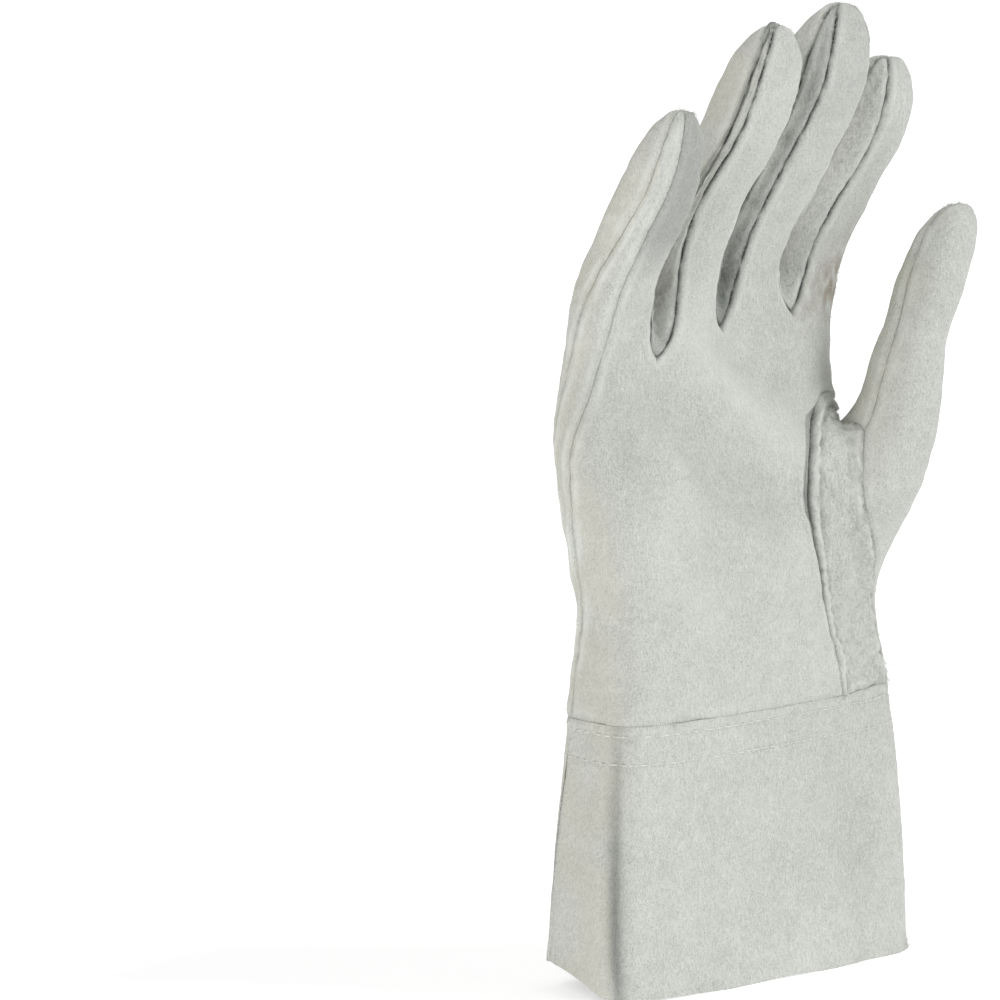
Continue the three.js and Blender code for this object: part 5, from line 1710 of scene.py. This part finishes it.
class GLOVE_OT_stitches(bpy.types.Operator):
    """Sews the two rows of the cuff's band, the faint arc on the palm and the tacks of the side strip"""
    bl_idname = "glove.stitches"
    bl_label = "Stitches"

    def execute(self, context):
        sizes = context.scene.glove_sizes
        roll, pitch = sizes.seam_roll / MM, sizes.stitch_pitch / MM
        angles = np.linspace(180, -180, 720)
        cuff = sewn_panel("cuff", roll)
        paths = [hand_points(np.full(len(angles), CUFF_HEIGHT - row), angles) for row in CUFF_ROWS]
        rows = [stitches(cuff, path, pitch, STITCH["length"], STITCH["radius"], STITCH["arch"])
                for path in paths]
        thread = finish(context, "cotton_thread")
        new_piece("stitches_cuff", *joined(rows), thread, "thread")
        faint = (STITCH["length"], FAINT_STITCH["radius_share"] * STITCH["radius"], FAINT_STITCH["arch"])
        arc = stitches(sewn_panel("palm", roll), seam_path(PALM_ARC), pitch, *faint)
        tacks = stitches(sewn_panel("side_strip", roll), seam_path(STRIP_TACKS), pitch, *faint)
        new_piece("stitches_palm", *joined([arc, tacks]), thread, "thread")
        return {"FINISHED"}


# Where loose fibres are laid: how many, their length as a share of the usual, their stand and their lean
FIBRE_LAYS = {
    "seams": (330, 1, 0.45),
    "palm_seams": (900, 1, 0.45),
    "gusset": (2200, 0.9, 0.5, (0, 0, -0.4)),
    "gusset_edge": (240, 2.6, 0.4, (0.4, 0, -1.4)),
    "fourchettes": (700, 0.8, 0.6),
    "worn_side": (120, 1.5, 0.9),
    "worn_back": (70, 1.5, 0.9),
    "rim": (420, 0.9, 0.5),
    "cuff_seam": (420, 1, 0.5),
}
# How far fibres reach from a seam, from the cuff's seam and up from the rim, and how few grow elsewhere
FIBRE_REACH = {"seams": 1.3, "cuff_seam": 1.2, "rim": 1.5, "elsewhere": 0.02}


class GLOVE_OT_fibres(bpy.types.Operator):
    """Lays the loose fibres: over the seams, on the gusset and the strips, and along the raw edges"""
    bl_idname = "glove.fibres"
    bl_label = "Fibres"

    def execute(self, context):
        sizes = context.scene.glove_sizes
        length, roll = sizes.fibre_length / MM, sizes.seam_roll / MM
        material = finish(context, "leather_fibre")
        panels = {name: sewn_panel(name, roll) for name in smooth_surface().panels}

        def lay(name, kind, weights):
            count, share, lift, *lean = FIBRE_LAYS[kind]
            size = share * length
            seed = 100 + list(panels).index(name) + int(10 * size)
            return fibres(panels[name], weights, int(count * sizes.fibre_share), size, lift, seed, *lean)

        seams = []
        for name, panel in panels.items():
            if name not in ("thumb_gusset", "cuff"):
                weights = np.exp(-panel.seam_distance / FIBRE_REACH["seams"]) + FIBRE_REACH["elsewhere"]
                seams.append(lay(name, "palm_seams" if name == "palm" else "seams", weights))
        new_piece("fibres_seams", *joined(seams), material, "suede")
        gusset = panels["thumb_gusset"]
        fuzzy = [lay("thumb_gusset", "gusset", np.ones(len(gusset.points))),
                 lay("thumb_gusset", "gusset_edge", np.exp(-gusset.away_from(["thumb_front"])))]
        fuzzy += [lay(name, "fourchettes", np.ones(len(panels[name].points))) for name in FOURCHETTES]
        new_piece("fibres_gusset", *joined(fuzzy), material, "fuzzy_suede")
        palm, index, cuff = panels["palm"], panels["back_index"], panels["cuff"]
        edges = [lay("palm", "worn_side", palm.values["raw"] + 1e-9),
                 lay("back_index", "worn_back", index.values["raw"] + 1e-9),
                 lay("cuff", "rim", np.exp(-cuff.points[:, 2] / FIBRE_REACH["rim"])),
                 lay("cuff", "cuff_seam", np.exp(-cuff.seam_distance / FIBRE_REACH["cuff_seam"]))]
        new_piece("fibres_edges", *joined(edges), material, "suede")
        return {"FINISHED"}


PIECE_OPERATORS = (GLOVE_OT_cuff, GLOVE_OT_palm, GLOVE_OT_backs, GLOVE_OT_strips, GLOVE_OT_thumb,
                   GLOVE_OT_gusset, GLOVE_OT_stitches, GLOVE_OT_fibres)


class GLOVE_PT_workshop(bpy.types.Panel):
    """Lists the sizes, the colours and a button for each piece"""
    bl_idname = "GLOVE_PT_workshop"
    bl_label = "Split leather glove"
    bl_space_type = "VIEW_3D"
    bl_region_type = "UI"
    bl_category = "Glove"

    def draw(self, context):
        for group in (context.scene.glove_sizes, context.scene.glove_colours):
            box = self.layout.box()
            for key in group.__annotations__:
                box.prop(group, key)
        for operator in (GLOVE_OT_stage, *PIECE_OPERATORS):
            self.layout.operator(operator.bl_idname)


CLASSES = (GLOVE_PG_sizes, GLOVE_PG_colours, GLOVE_OT_stage, *PIECE_OPERATORS, GLOVE_PT_workshop)


def register():
    for made in CLASSES:
        bpy.utils.register_class(made)
    bpy.types.Scene.glove_sizes = PointerProperty(type=GLOVE_PG_sizes)
    bpy.types.Scene.glove_colours = PointerProperty(type=GLOVE_PG_colours)


def unregister():
    del bpy.types.Scene.glove_colours
    del bpy.types.Scene.glove_sizes
    for made in reversed(CLASSES):
        bpy.utils.unregister_class(made)


def main():
    register()
    bpy.ops.glove.stage()
    bpy.ops.glove.cuff()
    bpy.ops.glove.palm()
    bpy.ops.glove.backs()
    bpy.ops.glove.strips()
    bpy.ops.glove.thumb()
    bpy.ops.glove.gusset()
    bpy.ops.glove.stitches()
    bpy.ops.glove.fibres()


if __name__ == "__main__":
    main()
